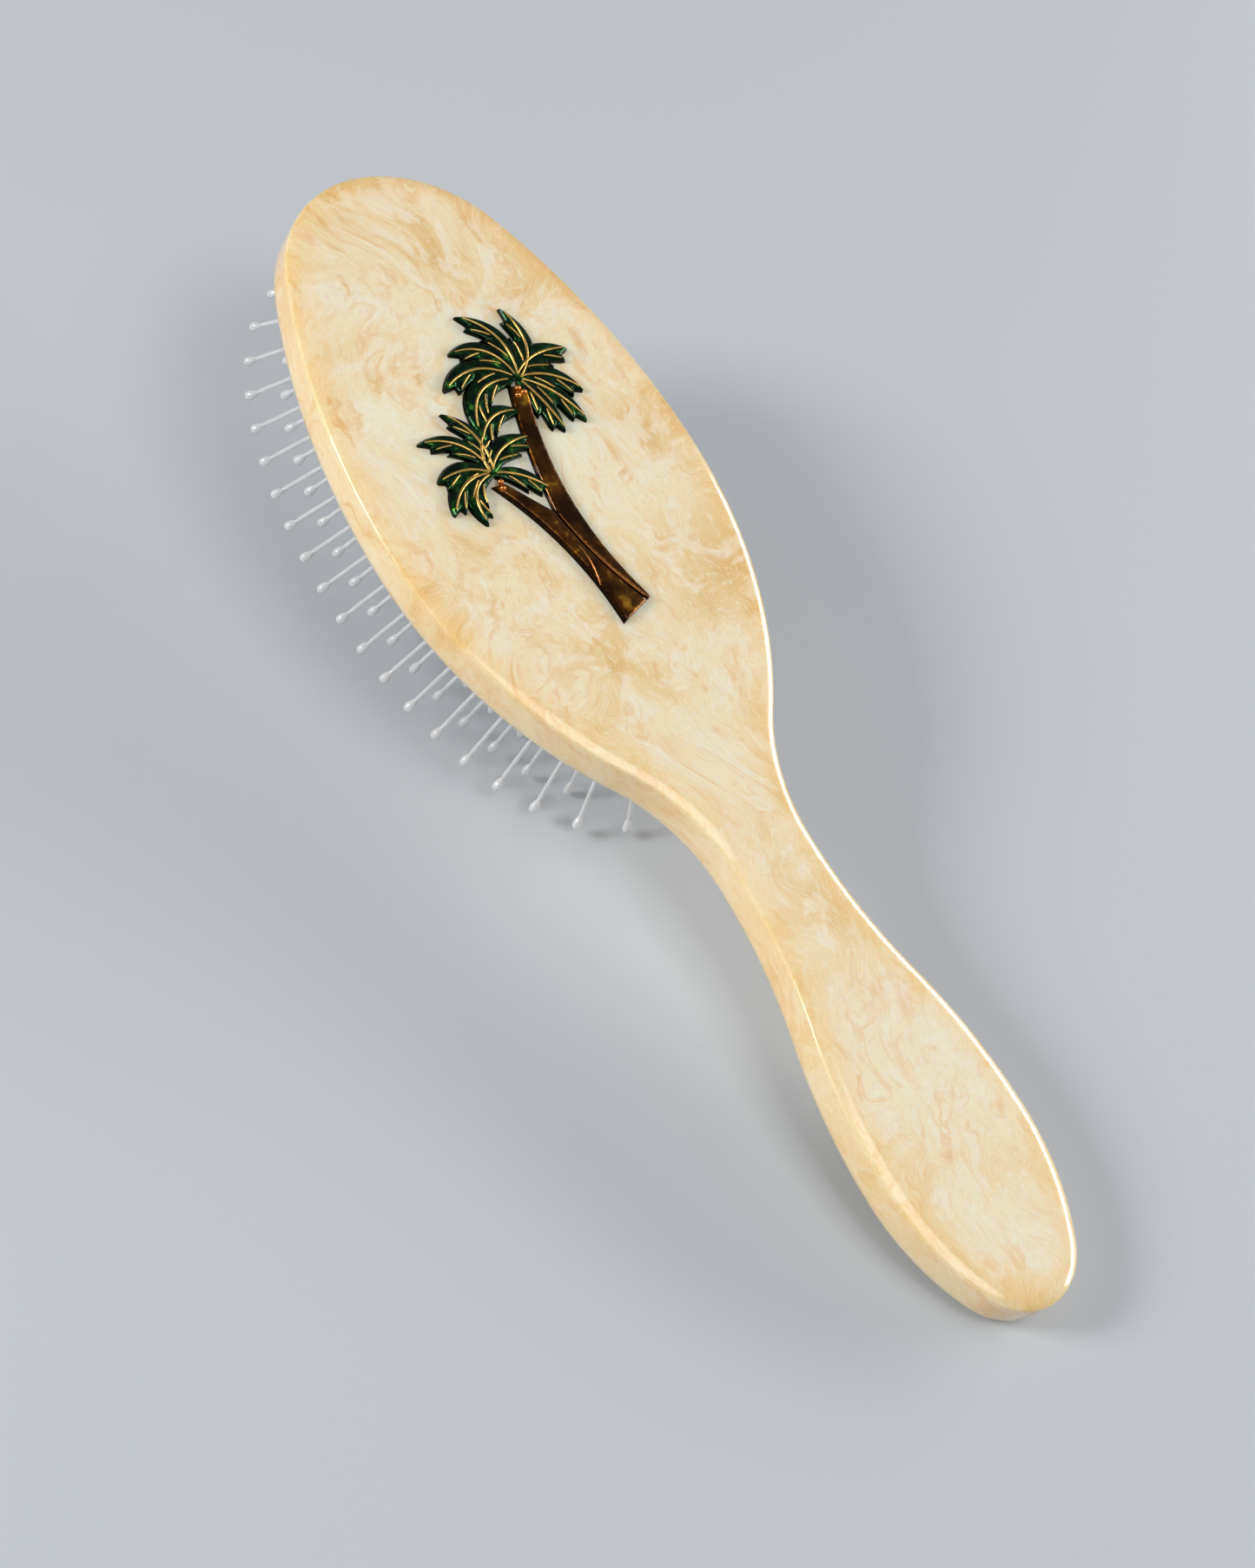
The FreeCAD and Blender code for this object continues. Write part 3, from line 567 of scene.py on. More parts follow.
SHORT_FRONDS = [
    (-0.5, -9.0, -13.7, -11.6, -2.0, 2.0, 2),
    (-0.5, -9.0, -9.7, -19.0, -2.6, 2.13, 2),
    (-0.5, -9.0, -2.3, -19.4, -1.0, 2.37, 2),
    (-0.5, -9.0, 4.1, -20.0, -1.8, 2.37, 2),
    (-0.5, -9.0, 7.6, -15.0, -2.4, 2.25, 2),
    (-0.5, -9.0, 5.3, 0.0, 0.8, 2.13, 2),
    (-0.5, -9.0, -4.8, 2.4, 1.5, 2.5, 2),
    (-0.5, -9.0, -7.8, -6.4, 0.8, 2.0, 2),
]
ENAMEL_FROM = THICKNESS + PLATE_PROUD
ENAMEL_TOP = ENAMEL_FROM + ENAMEL


class Frond:
    """A crescent leaf: a bowed midline, a smooth outer side and lobes on its hollow side."""

    LEAN = math.radians(42)           # how far the lobes lean towards the leaf's tip
    LOBES_FROM, LOBES_TO = 0.14, 0.80
    CUT = 0.80                        # share of a lobe's length at which its point lies
    NOTCH_REACH, LOBE_REACH = 0.85, 0.75
    DOMED = 0.75                      # width of the rounding inside the edge, millimetres
    CREASE_DEPTH, CREASE_WIDE = 0.22, 0.14
    SHARES = [0.985 * number / 72 for number in range(73)]

    def __init__(self, facts):
        root_x, root_y, tip_x, tip_y, self.bow, self.wide, self.lobes = facts
        self.root = Vector((EMBLEM_AT + root_x, root_y))
        self.tip = Vector((EMBLEM_AT + tip_x, tip_y))
        self.chord = self.tip - self.root
        self.length = self.chord.length
        along = self.chord / self.length
        self.left = Vector((-along.y, along.x))
        self.hollow = -1 if self.bow > 0 else 1

    def middle(self, t):
        """Point of the midline at a share t of its length."""
        return self.root + self.chord * t + self.left * (4 * self.bow * t * (1 - t))

    def way(self, t, side):
        """Unit way out from the midline; on the hollow side it leans towards the tip."""
        ahead = (self.chord + self.left * (4 * self.bow * (1 - 2 * t))).normalized()
        out = Vector((-ahead.y, ahead.x)) * side
        if side != self.hollow:
            return out
        return out * math.cos(self.LEAN) + ahead * math.sin(self.LEAN)

    def phase(self, t):
        """Place within a lobe of the hollow side, from 0 at its notch to 1 at the next."""
        if not self.LOBES_FROM < t < self.LOBES_TO:
            return None
        share = (t - self.LOBES_FROM) / (self.LOBES_TO - self.LOBES_FROM)
        return (share * self.lobes) % 1.0

    def reach(self, t, side):
        """Half width at t on the left (1) or right (-1) side."""
        full = self.wide * max(0.0, math.sin(math.pi * min(1.0, t * 0.9 + 0.1))) ** 0.85
        if side != self.hollow:
            return full
        phase = self.phase(t)
        if phase is None:
            return self.NOTCH_REACH * full
        if phase < self.CUT:
            swell = math.sin(phase / self.CUT * math.pi / 2) ** 1.5
        else:
            swell = (1 - phase) / (1 - self.CUT)
        return full * (self.NOTCH_REACH + self.LOBE_REACH * swell)

    def point(self, t, s, margin=0.0):
        """Point at share s of the half width, from -1 on the right to 1 on the left."""
        side = 1 if s > 0 else -1
        return self.middle(t) + self.way(t, side) * (abs(s) * self.reach(t, side) + margin)

    def height(self, t, s):
        """Height of the enamel's surface."""
        side = 1 if s > 0 else -1
        room = (1 - abs(s)) * self.reach(t, side)
        room = min(room, (1 - t) * self.length)
        share = min(1.0, room / self.DOMED)
        height = ENAMEL * math.sqrt(1 - (1 - share) ** 2)
        phase = self.phase(t)
        if side == self.hollow and phase is not None:
            near = min(phase, 1 - phase) / self.CREASE_WIDE
            crease = self.CREASE_DEPTH * min(1.0, 1.6 * abs(s)) * math.exp(-near ** 2)
            height -= crease * share
        return ENAMEL_FROM + max(0.02, height)


def frond_mesh(frond, shell, rims):
    """Adds a leaf's enamel to a shell; rims gathers each vertex's nearness to the edge."""
    half = [0.25, 0.5, 0.7, 0.84, 0.93, 0.98, 1]
    sides = [-s for s in reversed(half)] + [0] + half
    foot = ENAMEL_FROM - ENAMEL_SUNK
    rows = []
    for t in frond.SHARES:
        verts = [frond.point(t, s) for s in (-1, *sides, 1)]
        heights = [foot, *(frond.height(t, s) for s in sides), foot]
        rows.append(shell.points([Vector((p.x, p.y, z)) * MM
                                  for p, z in zip(verts, heights)]))
        rims.extend([1.0] + [abs(s) ** 3 for s in sides] + [1.0])
    closed_rows(shell, rows)


def frond_wires(frond, shell):
    """Adds a leaf's gold midrib and one short barb in each lobe."""
    outer = -frond.hollow

    def wire(places, thick):
        points = []
        for t, s in places:
            p = frond.point(t, s)
            points.append(Vector((p.x, p.y, frond.height(t, s) + 0.02)) * MM)
        last = len(points) - 1
        radii = [thick * MM * (0.45 + 0.55 * math.sin(math.pi * (0.12 + 0.8 * k / last)))
                 for k in range(len(points))]
        shell.add(*tube(points, radii))

    wire([(0.06 + 0.86 * k / 24, outer * (0.25 - 0.15 * k / 24)) for k in range(25)],
         RIB_RADIUS)
    lobe = (frond.LOBES_TO - frond.LOBES_FROM) / frond.lobes
    for number in range(frond.lobes):
        start = frond.LOBES_FROM + lobe * (number + 0.3)
        wire([(start + lobe * 0.40 * k / 9, frond.hollow * (0.14 + 0.62 * k / 9))
              for k in range(10)], BARB_RADIUS)


def build_crown(name, fronds, enamel, gold):
    """A crown's enamel leaves and its gold veins."""
    leaves, rims, veins = Shell(), [], Shell()
    for facts in fronds:
        frond = Frond(facts)
        frond_mesh(frond, leaves, rims)
        frond_wires(frond, veins)
    thing = piece(name + "_leaves", leaves.verts, leaves.faces, "handle", enamel,
                  50)
    store(thing, "rim", rims)
    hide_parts(name + "_enamel")
    wires = piece(name + "_ribs", veins.verts, veins.faces, "handle", gold, 60)
    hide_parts(name + "_veins")


def bowed(start, end, bow, count):
    """Points of a bowed line, the bow to the left of its way."""
    a, b = Vector(start), Vector(end)
    chord = b - a
    left = Vector((-chord.y, chord.x)).normalized()
    return [a + chord * t + left * (4 * bow * t * (1 - t))
            for t in (number / count for number in range(count + 1))]


def trunk_point(sides, t, s):
    """Point of a strip between two side lines at shares t along and s across."""
    ends = []
    for line in sides:
        place = t * (len(line) - 1)
        index = min(int(place), len(line) - 2)
        ends.append(line[index].lerp(line[index + 1], place - index))
    return ends[0].lerp(ends[1], s)


def trunk_height(sides, t, s, length):
    """Height of a trunk's enamel: rounded at its edges, slightly crowned."""
    width = (trunk_point(sides, t, 0.0) - trunk_point(sides, t, 1.0)).length
    room = min(s, 1 - s) * width
    room = min(room, t * length, (1 - t) * length)
    share = min(1.0, room / TRUNK_ROUND)
    crown = TRUNK_CROWN * (1 - (2 * s - 1) ** 2)
    return ENAMEL_FROM + 0.02 + TRUNK_RISE * math.sqrt(1 - (1 - share) ** 2) + crown


def build_trunk(name, sides, material):
    """One trunk's enamel between its two side lines."""
    length = sum((b - a).length for a, b in zip(sides[0], sides[0][1:]))
    ends = [0.0, 0.06, 0.2, 0.4]
    shares = [step / length for step in ends] + [number / 60 for number in range(2, 59)]
    shares += [1 - step / length for step in reversed(ends)]
    cross = [0, 0.015, 0.06, 0.13, 0.22, 0.35, 0.5, 0.65, 0.78, 0.87, 0.94, 0.985, 1]
    shell, rims, rows = Shell(), [], []
    for t in shares:
        line = []
        for s, low in [(0, True)] + [(s, False) for s in cross] + [(1, True)]:
            p = trunk_point(sides, t, s)
            z = ENAMEL_FROM - ENAMEL_SUNK if low else trunk_height(sides, t, s, length)
            line.append(Vector((EMBLEM_AT + p.x, p.y, z)) * MM)
            rims.append(abs(2 * s - 1) ** 4)
        rows.append(shell.points(line))
    closed_rows(shell, rows)
    trunk = piece(name, shell.verts, shell.faces, "handle", material, 50)
    store(trunk, "rim", rims)
    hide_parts(name.replace("_bark", "_enamel"))


TALL_SIDES = [bowed((-12.9, 7.3), (28.8, 6.0), -4.0, 60),
              bowed((-14.7, 4.2), (9.4, -1.8), -0.8, 34)[:-1]
              + bowed((9.4, -1.8), (29.1, 5.0), -0.9, 27)]
SHORT_SIDES = [bowed((1.5, -7.8), (9.4, -1.8), 0.0, 16)[:-1]
               + bowed((9.4, -1.8), (29.1, 5.0), -0.9, 44),
               bowed((1.4, -10.3), (31.3, -1.6), 2.2, 60)]
SEAMS = [((9.9, -1.6), (28.3, 4.6), -0.9), ((16.1, -1.7), (23.9, -2.3), 0.6)]
COCONUTS = [(-13.6, 5.2), (-12.4, 4.4), (-12.6, 5.9), (1.2, -8.6), (2.4, -8.9)]


def build_seams(wire):
    """The fine raised lines on the trunks."""
    shell = Shell()
    for start, end, bow in SEAMS:
        points = [Vector((EMBLEM_AT + p.x, p.y, ENAMEL_FROM + 0.84)) * MM
                  for p in bowed(start, end, bow, 30)]
        radii = [SEAM_RADIUS * MM * (0.4 + 0.6 * math.sin(math.pi * (0.1 + 0.8 * k / 30)))
                 for k in range(31)]
        shell.add(*tube(points, radii))
    seams = piece("trunk_seam_wires", shell.verts, shell.faces, "handle", wire, 60)
    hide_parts("trunk_seams")


def build_coconuts(copper):
    """Copper beads where the fronds meet the trunks."""
    profile = [(0.0, -0.3), (0.5, -0.3), (0.58, -0.1), (0.56, 0.1), (0.47, 0.3), (0.34, 0.44),
               (0.18, 0.53), (0.0, 0.56)]
    verts, faces = lathe(profile, 20)
    shell = Shell()
    for x, y in COCONUTS:
        place = Vector((EMBLEM_AT + x, y, ENAMEL_TOP))
        shell.add([(place + vert) * MM for vert in verts], faces)
    beads = piece("coconuts", shell.verts, shell.faces, "handle", copper, 60)
    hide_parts("coconut_beads")


def build_plate(metal):
    """The base plate under the enamel, with the same lobed outline, a little wider."""
    shell = Shell()
    low, high = THICKNESS - PLATE_SUNK, ENAMEL_FROM
    for facts in TALL_FRONDS + SHORT_FRONDS:
        frond = Frond(facts)
        outline = [frond.point(t, 1, PLATE_MARGIN) for t in frond.SHARES]
        outline += [frond.point(t, -1, PLATE_MARGIN) for t in reversed(frond.SHARES)]
        upper = shell.points([Vector((p.x, p.y, high)) * MM for p in outline])
        lower = shell.points([Vector((p.x, p.y, low)) * MM for p in outline])
        bridge(shell, upper, lower)
        half = len(outline) // 2
        for line in (upper, lower):
            for k in range(half - 1):
                shell.faces.append((line[k], line[k + 1], line[-2 - k], line[-1 - k]))
    for sides in (TALL_SIDES, SHORT_SIDES):
        rows = []
        for number in range(61):
            t = number / 60
            a, b = trunk_point(sides, t, 0.0), trunk_point(sides, t, 1.0)
            out = (a - b).normalized() * TRUNK_MARGIN
            corners = ((a + out, high), (b - out, high), (b - out, low), (a + out, low))
            line = [Vector((EMBLEM_AT + p.x, p.y, z)) * MM for p, z in corners]
            rows.append(shell.points(line))
        closed_rows(shell, rows)
    plate = piece("emblem_plate", shell.verts, shell.faces, "handle", metal, 30)
    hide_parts("emblem_base_plate")


# ------------------------ materials

class Paint:
    """A material and short calls for its nodes."""

    def __init__(self, name):
        self.material = bpy.data.materials.new(name)
        self.material.use_nodes = True
        self.tree = self.material.node_tree
        self.shader = self.tree.nodes["Principled BSDF"]

    def node(self, kind, values=None, links=None, **settings):
        """A node with its settings, its input values and its links."""
        made = self.tree.nodes.new(kind)
        for key, value in settings.items():
            setattr(made, key, value)
        for key, value in (values or {}).items():
            made.inputs[key].default_value = value
        for key, source in (links or {}).items():
            self.tree.links.new(source, made.inputs[key])
        return made

    def set(self, **values):
        """Sets the shader's own sockets."""
        for key, value in values.items():
            self.shader.inputs[key.replace("_", " ")].default_value = value

    def link(self, source, socket):
        """Feeds a socket of the shader."""
        self.tree.links.new(source, self.shader.inputs[socket])

    def millimetres(self):
        """Object coordinates in millimetres."""
        place = self.node("ShaderNodeTexCoord").outputs["Object"]
        return self.vector("SCALE", place, Scale=1000.0)

    def vector(self, operation, first, second=None, **values):
        """A vector operation; the second input is a link or a fixed vector."""
        made = self.node("ShaderNodeVectorMath", operation=operation, links={0: first})
        if isinstance(second, tuple):
            made.inputs[1].default_value = second
        elif second is not None:
            self.tree.links.new(second, made.inputs[1])
        for key, value in values.items():
            made.inputs[key].default_value = value
        return made.outputs["Vector"]

    def math(self, operation, first, second):
        """A scalar operation on links or numbers."""
        made = self.node("ShaderNodeMath", operation=operation)
        for index, value in enumerate((first, second)):
            if isinstance(value, (int, float)):
                made.inputs[index].default_value = value
            else:
                self.tree.links.new(value, made.inputs[index])
        return made.outputs[0]

    def noise(self, place, scale, detail=2.0, roughness=0.5, colour=False):
        """Noise at a scale per unit of the place it reads."""
        made = self.node("ShaderNodeTexNoise", links={"Vector": place},
                         values={"Scale": scale, "Detail": detail, "Roughness": roughness})
        return made.outputs["Color" if colour else "Fac"]

    def warp(self, place, scale, reach, detail=2.0):
        """A place shifted by noise, by up to about half the reach each way."""
        shift = self.noise(place, scale, detail, colour=True)
        shift = self.vector("SUBTRACT", shift, (0.5, 0.5, 0.5))
        shift = self.vector("SCALE", shift, Scale=reach)
        return self.vector("ADD", place, shift)

    def ramp(self, value, *stops):
        """A colour ramp of (position, colour) stops."""
        made = self.node("ShaderNodeValToRGB", links={"Fac": value})
        elements = made.color_ramp.elements
        while len(elements) < len(stops):
            elements.new(0.5)
        for element, (position, colour) in zip(elements, stops):
            element.position = position
            element.color = (*colour, 1)
        return made.outputs["Color"]

    def span(self, value, low, high, to_low=0.0, to_high=1.0):
        """A smooth step of a value from one range to another."""
        made = self.node("ShaderNodeMapRange", interpolation_type="SMOOTHSTEP",
                         links={"Value": value},
                         values={"From Min": low, "From Max": high,
                                 "To Min": to_low, "To Max": to_high})
        return made.outputs["Result"]

    def mix(self, share, first, second, blend="MIX"):
        """Two colours mixed; each is a link or a fixed colour, and so is the share."""
        made = self.node("ShaderNodeMix", data_type="RGBA", blend_type=blend)
        for index, value in ((0, share), (6, first), (7, second)):
            if isinstance(value, (int, float)):
                made.inputs[index].default_value = value
            elif isinstance(value, tuple):
                made.inputs[index].default_value = (*value, 1)
            else:
                self.tree.links.new(value, made.inputs[index])
        return made.outputs[2]

    def attribute(self, name):
        """A value stored on the mesh."""
        return self.node("ShaderNodeAttribute", attribute_name=name).outputs["Fac"]

    def bump(self, height, strength, distance):
        """A bump whose distance is in metres."""
        made = self.node("ShaderNodeBump", values={"Strength": strength, "Distance": distance},
                         links={"Height": height})
        return made.outputs["Normal"]


def acetate():
    """Pearl acetate: ivory with caramel clouds, silky fibres, feathered folds, and a painted glow near the edges
    for light scattering through them.
    """
    paint = Paint("pearl_acetate")
    place = paint.millimetres()
    bent = paint.warp(place, 0.030, 34.0, 1.0)
    bent = paint.warp(bent, 0.10, 9.0, 2.0)
    curled = paint.warp(bent, 0.42, 1.5, 2.0)
    clouds = paint.noise(bent, 0.050, 4.0, 0.56)
    along = paint.vector("MULTIPLY", curled, (0.16, 1.0, 1.0))
    fibres = paint.noise(along, 1.9, 5.0, 0.66)
    wisps = paint.noise(paint.vector("MULTIPLY", curled, (0.35, 1.1, 1.1)), 0.26, 5.0, 0.62)
    flakes = paint.noise(paint.vector("ADD", curled, (17.0, 5.0, 9.0)), 0.17, 6.0, 0.62)

    grip = paint.attribute("grip")
    clouds = paint.math("ADD", clouds, paint.math("MULTIPLY", grip, 0.12))
    clouds = paint.math("ADD", clouds, paint.span(grip, 0.0, 0.09, -0.07, 0.0))
    base = paint.ramp(clouds, (0.30, (0.82, 0.56, 0.24)), (0.42, (0.88, 0.68, 0.36)),
                      (0.52, (0.93, 0.77, 0.48)), (0.64, (0.96, 0.85, 0.63)))
    amber = paint.span(wisps, 0.47, 0.32, 0.0, 0.68)
    amber = paint.math("MULTIPLY", amber, paint.span(grip, 0.0, 0.8, 1.0, 0.45))
    base = paint.mix(amber, base, (0.82, 0.50, 0.19))
    pearl = paint.span(flakes, 0.50, 0.60, 0.0, 0.55)
    base = paint.mix(pearl, base, (0.98, 0.90, 0.75))
    silk = paint.span(fibres, 0.52, 0.66, 0.0, 0.46)
    base = paint.mix(silk, base, (1.0, 0.95, 0.84))
    shade = paint.span(fibres, 0.48, 0.34, 0.0, 0.30)
    base = paint.mix(shade, base, (0.86, 0.56, 0.26))

    fold = paint.noise(paint.vector("MULTIPLY", bent, (0.5, 1.0, 1.0)), 0.13, 3.0, 0.5)
    fold = paint.math("SUBTRACT", fold, 0.5)
    line = paint.math("MULTIPLY", paint.span(fold, -0.012, 0.0), paint.span(fold, 0.09, 0.0))
    where = paint.span(paint.noise(place, 0.07, 2.0), 0.48, 0.64, 0.0, 0.4)
    base = paint.mix(paint.math("MULTIPLY", line, where), base, (0.84, 0.53, 0.21))

    # Painted glow: the colour is warmed near the outline to stand in for light scattering through the translucent
    # edges.
    edge = paint.attribute("edge")
    painted_edge_glow = paint.math("MULTIPLY", edge, 0.8)
    base = paint.mix(painted_edge_glow, base, (1.0, 0.86, 0.62), "MULTIPLY")
    halo = paint.math("MULTIPLY", paint.attribute("halo"),
                      paint.span(paint.noise(place, 0.3, 3.0), 0.35, 0.65, 0.0, 0.5))
    base = paint.mix(halo, base, (0.82, 0.86, 0.74))
    paint.link(base, "Base Color")
    rough = paint.span(paint.noise(place, 0.8, 3.0), 0.3, 0.7, 0.16, 0.24)
    paint.link(rough, "Roughness")
    paint.link(paint.bump(fibres, 0.2, 0.00005), "Normal")
    paint.set(IOR=1.48, Coat_Weight=0.6, Coat_Roughness=0.06, Subsurface_Weight=0.5,
              Subsurface_Scale=0.003, Subsurface_Radius=(1.0, 0.62, 0.28))
    return paint.material


def enamel(name, deep, bright, glint, grain, relief):
    """Coloured enamel over foil: a metallic colour under a clear coat with painted glints, darker at the rim."""
    paint = Paint(name)
    place = paint.millimetres()
    foil = paint.noise(paint.warp(place, 0.4, 2.0), grain, 3.0, 0.55)
    # The glint stop is a painted glint: light reflecting off the foil, put into the colour by the noise.
    spread = paint.ramp(foil, (0.40, deep), (0.60, bright), (0.74, glint))
    rim = paint.span(paint.attribute("rim"), 0.1, 0.9, 0.0, 0.92)
    paint.link(paint.mix(rim, spread, tuple(0.3 * c for c in deep)), "Base Color")
    paint.link(paint.bump(foil, 0.5, relief), "Normal")
    paint.set(Metallic=1.0, Roughness=0.26, Coat_Weight=0.3, Coat_Roughness=0.02,
              Coat_IOR=1.45)
    return paint.material


def metal(name, colour, dull, roughness=0.25, spots=1.2):
    """Plated metal with faint tarnish."""
    paint = Paint(name)
    place = paint.millimetres()
    tarnish = paint.noise(place, spots, 3.0, 0.6)
    paint.link(paint.mix(paint.span(tarnish, 0.45, 0.75), colour, dull), "Base Color")
    paint.link(paint.span(tarnish, 0.3, 0.8, roughness, roughness + 0.15), "Roughness")
    paint.link(paint.bump(paint.noise(place, 6.0, 2.0), 0.15, 0.00005), "Normal")
    paint.set(Metallic=1.0)
    return paint.material


def nylon():
    """Near-clear nylon, slightly milky."""
    paint = Paint("clear_nylon")
    place = paint.millimetres()
    milk = paint.noise(place, 0.7, 2.0)
    paint.link(paint.ramp(milk, (0.35, (0.93, 0.95, 0.98)), (0.65, (1.0, 1.0, 1.0))),
               "Base Color")
    paint.link(paint.span(milk, 0.3, 0.7, 0.06, 0.16), "Roughness")
    paint.set(IOR=1.45, Transmission_Weight=0.5, Specular_IOR_Level=0.6,
              Coat_Weight=0.5, Coat_Roughness=0.05)
    return paint.material


def rubber():
    """Matt ivory rubber with a fine skin texture and faint bloom."""
    paint = Paint("ivory_rubber")
    place = paint.millimetres()
    bloom = paint.noise(place, 0.12, 3.0, 0.6)
    skin = paint.noise(place, 5.0, 2.0, 0.7)
    paint.link(paint.ramp(bloom, (0.35, (0.80, 0.77, 0.68)), (0.65, (0.88, 0.86, 0.79))),
               "Base Color")
    paint.link(paint.span(bloom, 0.3, 0.7, 0.55, 0.68), "Roughness")
    paint.link(paint.bump(skin, 0.4, 0.00006), "Normal")
    paint.set(Subsurface_Weight=0.2, Subsurface_Scale=0.0015)
    return paint.material


def felt():
    """Pressed wool felt."""
    paint = Paint("wool_felt")
    place = paint.millimetres()
    hairs = paint.noise(paint.warp(place, 1.5, 1.0), 6.0, 5.0, 0.75)
    paint.link(paint.ramp(hairs, (0.3, (0.62, 0.60, 0.54)), (0.7, (0.84, 0.82, 0.76))),
               "Base Color")
    paint.link(paint.bump(hairs, 0.8, 0.0002), "Normal")
    paint.set(Roughness=0.95, Sheen_Weight=0.5, Sheen_Roughness=0.5)
    return paint.material


def moulded(name, light, dark, roughness):
    """Moulded plastic or cured glue with a faint mottle."""
    paint = Paint(name)
    place = paint.millimetres()
    mottle = paint.noise(place, 0.5, 3.0)
    paint.link(paint.mix(paint.span(mottle, 0.35, 0.65), light, dark), "Base Color")
    paint.link(paint.bump(paint.noise(place, 3.0, 2.0), 0.15, 0.00005), "Normal")
    paint.set(Roughness=roughness)
    return paint.material


def stone():
    """The plain pale floor."""
    paint = Paint("pale_floor")
    paint.set(Base_Color=(0.555, 0.59, 0.64, 1), Roughness=0.75, Specular_IOR_Level=0.1)
    return paint.material


# ------------------------ slab extras

EDGE_REACH, HALO_REACH = 7.0, 4.5


def nearness(distance, reach):
    """1 at no distance, easing to 0 at the reach."""
    share = max(0.0, 1 - distance / reach)
    return share * share * (3 - 2 * share)


def shade_slab(slab):
    """Stores on the slab how near each vertex is to its edge, the emblem and the grip."""
    places = [p for p, _ in half_outline(2.0)]
    marks = []
    for facts in TALL_FRONDS + SHORT_FRONDS:
        frond = Frond(facts)
        marks += [(frond.middle(k / 8), frond.wide * 0.8) for k in range(9)]
    for sides in (TALL_SIDES, SHORT_SIDES):
        for k in range(21):
            a, b = trunk_point(sides, k / 20, 0.0), trunk_point(sides, k / 20, 1.0)
            centre = (a + b) / 2 + Vector((EMBLEM_AT, 0))
            marks.append((centre, (a - b).length / 2))
    edges, halos, grips = [], [], []
    for vertex in slab.data.vertices:
        x, y, z = vertex.co / MM
        flat = Vector((x, abs(y)))
        edges.append(nearness(min((flat - p).length for p in places), EDGE_REACH))
        halo = 0.0
        if z > THICKNESS - 0.01:
            here = Vector((x, y))
            gap = min((here - p).length - wide for p, wide in marks)
            halo = nearness(max(0.0, gap), HALO_REACH)
        halos.append(halo)
        grips.append(nearness(LENGTH - x, LENGTH))
    store(slab, "edge", edges)
    store(slab, "halo", halos)
    store(slab, "grip", grips)


# ------------------------ stage

# Each light: name, place and aim in metres, size across and up, watts, colour.
LIGHTS = [
    ("window", (0.24, 0.90, 0.30), (0.04, 0.0, 0.02), (0.9, 0.17), 6.8, (1.0, 0.97, 0.92)),
    ("softbox", (-0.46, -0.88, 0.50), (0.02, 0.0, 0.02), (0.3, 0.3), 8.6, (1.0, 0.98, 0.96)),
    ("ceiling", (0.42, 0.0, 1.05), (0.06, 0.0, 0.02), (0.6, 0.6), 3.6, (1.0, 0.98, 0.95)),
]
SKY_COLOUR, SKY_STRENGTH = (0.92, 0.95, 1.0, 1), 0.24
FLOOR_HALF = 1.6
FLOOR_BELOW = 0.00005
CAMERA_AT, CAMERA_AIM = Vector((0.1265, -0.2668, 0.3348)), Vector((0.0049, -0.0137, 0.0200))
CAMERA_ROLL = math.radians(32.5)
CAMERA_LENS = 59.8


def soft_light(name, place, aim, size, power, colour):
    """A rectangular soft light that faces a point."""
    data = bpy.data.lights.new(name, "AREA")
    data.shape = "RECTANGLE"
    data.size, data.size_y = size
    data.energy = power
    data.color = colour
    light = bpy.data.objects.new(name, data)
    bpy.context.scene.collection.objects.link(light)
    light.location = place
    light.rotation_euler = (Vector(aim) - Vector(place)).to_track_quat("-Z", "Y").to_euler()


def build_stage():
    """Floor, lights and world."""
    corners = ((-1, -1), (1, -1), (1, 1), (-1, 1))
    mesh = bpy.data.meshes.new("floor")
    mesh.from_pydata([(x * FLOOR_HALF, y * FLOOR_HALF, -FLOOR_BELOW) for x, y in corners],
                     [], [(0, 1, 2, 3)])
    mesh.materials.append(stone())
    floor = bpy.data.objects.new("floor", mesh)
    bpy.context.scene.collection.objects.link(floor)
    for light in LIGHTS:
        soft_light(*light)
    world = bpy.data.worlds.new("studio")
    world.use_nodes = True
    sky = world.node_tree.nodes["Background"]
    sky.inputs["Color"].default_value = SKY_COLOUR
    sky.inputs["Strength"].default_value = SKY_STRENGTH
    bpy.context.scene.world = world
    bpy.context.scene.view_settings.view_transform = "Standard"


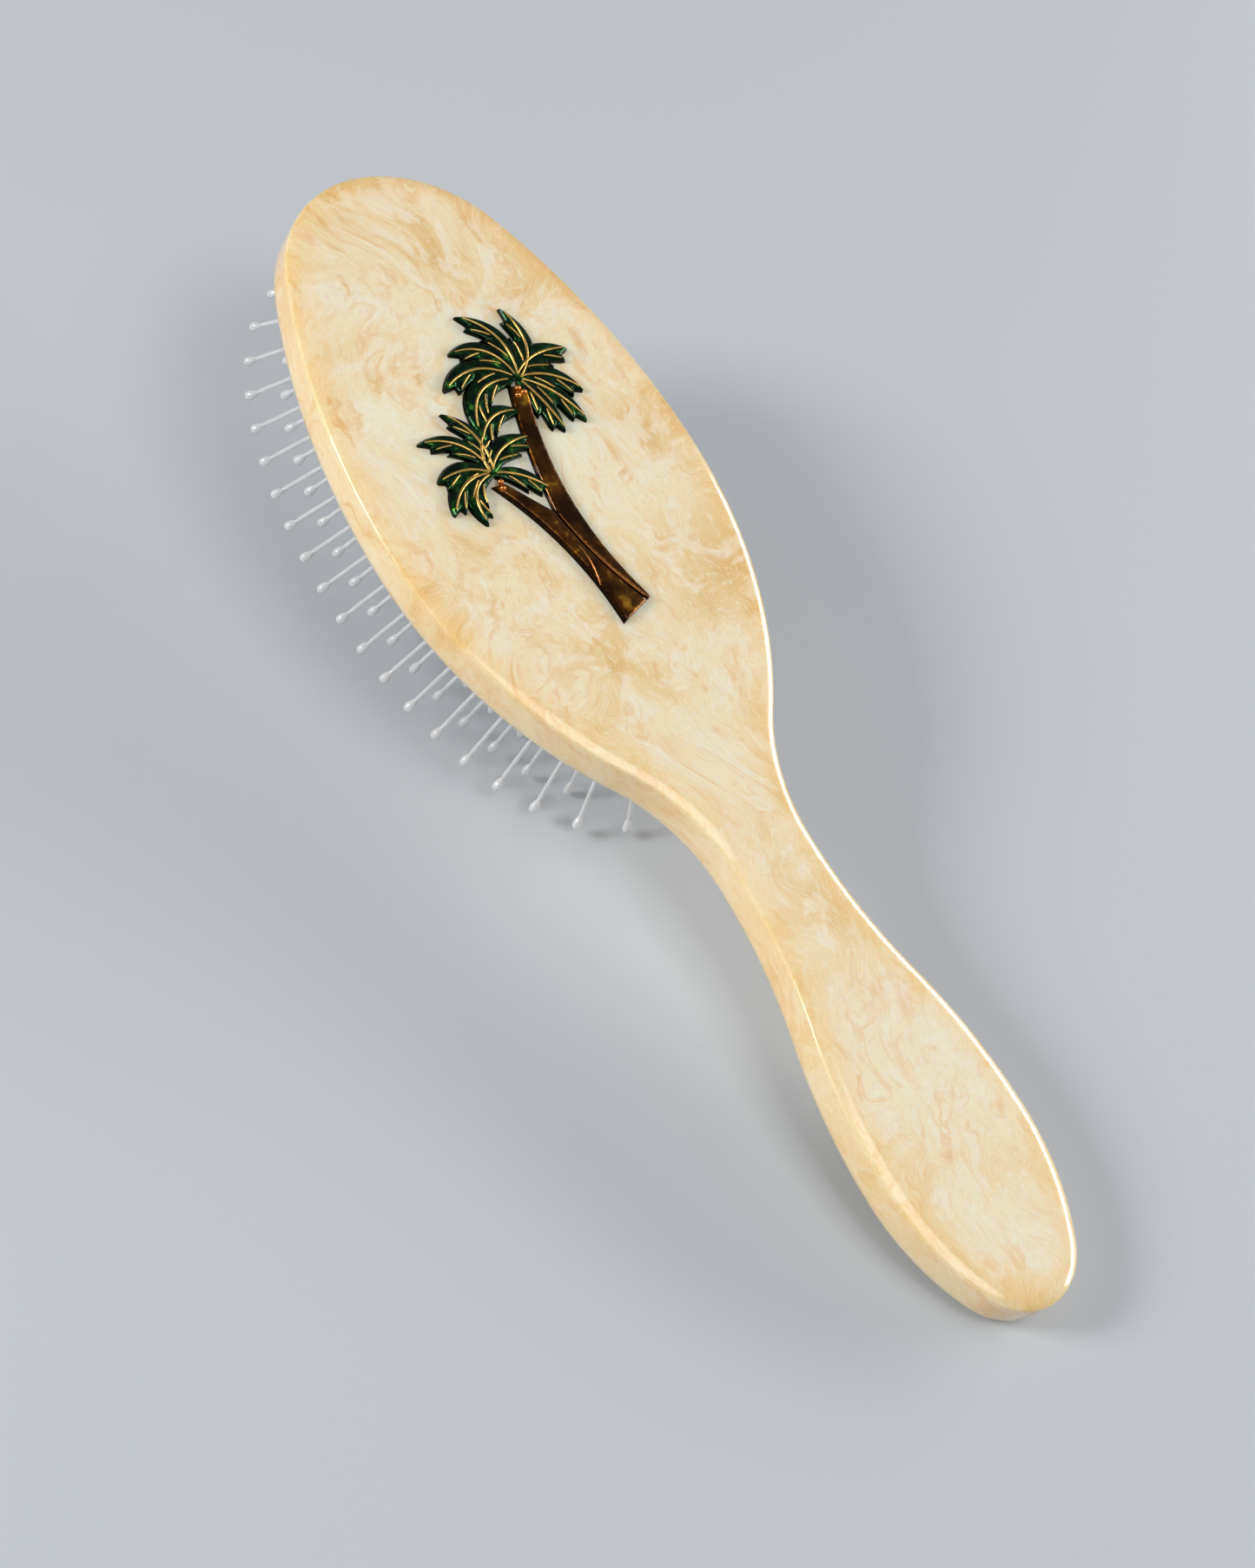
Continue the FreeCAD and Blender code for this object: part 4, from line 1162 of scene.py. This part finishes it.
def build_camera():
    """A camera above the brush's right side, rolled so that the brush runs down to the right."""
    back = (CAMERA_AT - CAMERA_AIM).normalized()
    level = Vector((0, 0, 1)).cross(back).normalized()
    rise = back.cross(level)
    right = level * math.cos(CAMERA_ROLL) + rise * math.sin(CAMERA_ROLL)
    above = rise * math.cos(CAMERA_ROLL) - level * math.sin(CAMERA_ROLL)
    data = bpy.data.cameras.new("camera")
    data.sensor_width = 36.0
    data.lens = CAMERA_LENS
    data.clip_start, data.clip_end = 0.01, 20.0
    camera = bpy.data.objects.new("camera", data)
    bpy.context.scene.collection.objects.link(camera)
    camera.matrix_world = (Matrix.Translation(CAMERA_AT)
                           @ Matrix((right, above, back)).transposed().to_4x4())
    bpy.context.scene.camera = camera


# ------------------------ assembly

ACETATE = acetate()
GREEN = enamel("green_enamel", (0.003, 0.020, 0.007), (0.010, 0.075, 0.016),
               (0.16, 0.56, 0.07), 0.5, 0.0006)
BROWN = enamel("brown_enamel", (0.050, 0.016, 0.0015), (0.19, 0.068, 0.006),
               (1.0, 0.46, 0.03), 0.22, 0.0009)
GOLD = metal("gold_plate", (0.83, 0.55, 0.16), (0.55, 0.33, 0.09))
COPPER = metal("copper_plate", (0.62, 0.24, 0.07), (0.35, 0.12, 0.03))
BRONZE = metal("dark_bronze", (0.035, 0.03, 0.02), (0.015, 0.014, 0.01), 0.35)
BRASS = metal("eyelet_brass", (0.80, 0.62, 0.32), (0.6, 0.42, 0.2))
RUBBER_SKIN = rubber()

SLAB = build_slab(ACETATE)
shade_slab(SLAB)
PINS = plan_pins()
build_pins(PINS, nylon())
build_membrane(PINS, RUBBER_SKIN)
build_liner(felt())
build_crown("tall_crown", TALL_FRONDS, GREEN, GOLD)
build_crown("short_crown", SHORT_FRONDS, GREEN, GOLD)
build_trunk("tall_trunk_bark", TALL_SIDES, BROWN)
build_trunk("short_trunk_bark", SHORT_SIDES, BROWN)
build_seams(COPPER)
build_coconuts(COPPER)
build_plate(BRONZE)

WHITE_PLASTIC = moulded("white_plastic", (0.86, 0.86, 0.84), (0.80, 0.80, 0.78), 0.45)
CLEAR_GLUE = moulded("clear_glue", (0.80, 0.80, 0.74), (0.74, 0.72, 0.64), 0.2)
for node, material in (("cushion_frame", WHITE_PLASTIC), ("emblem_glue_film", CLEAR_GLUE),
                       ("emblem_posts", BRASS), ("vent_eyelet", BRASS)):
    thing = frame["nodes"][node]
    thing.data.materials.clear()
    thing.data.materials.append(material)

build_stage()
build_camera()
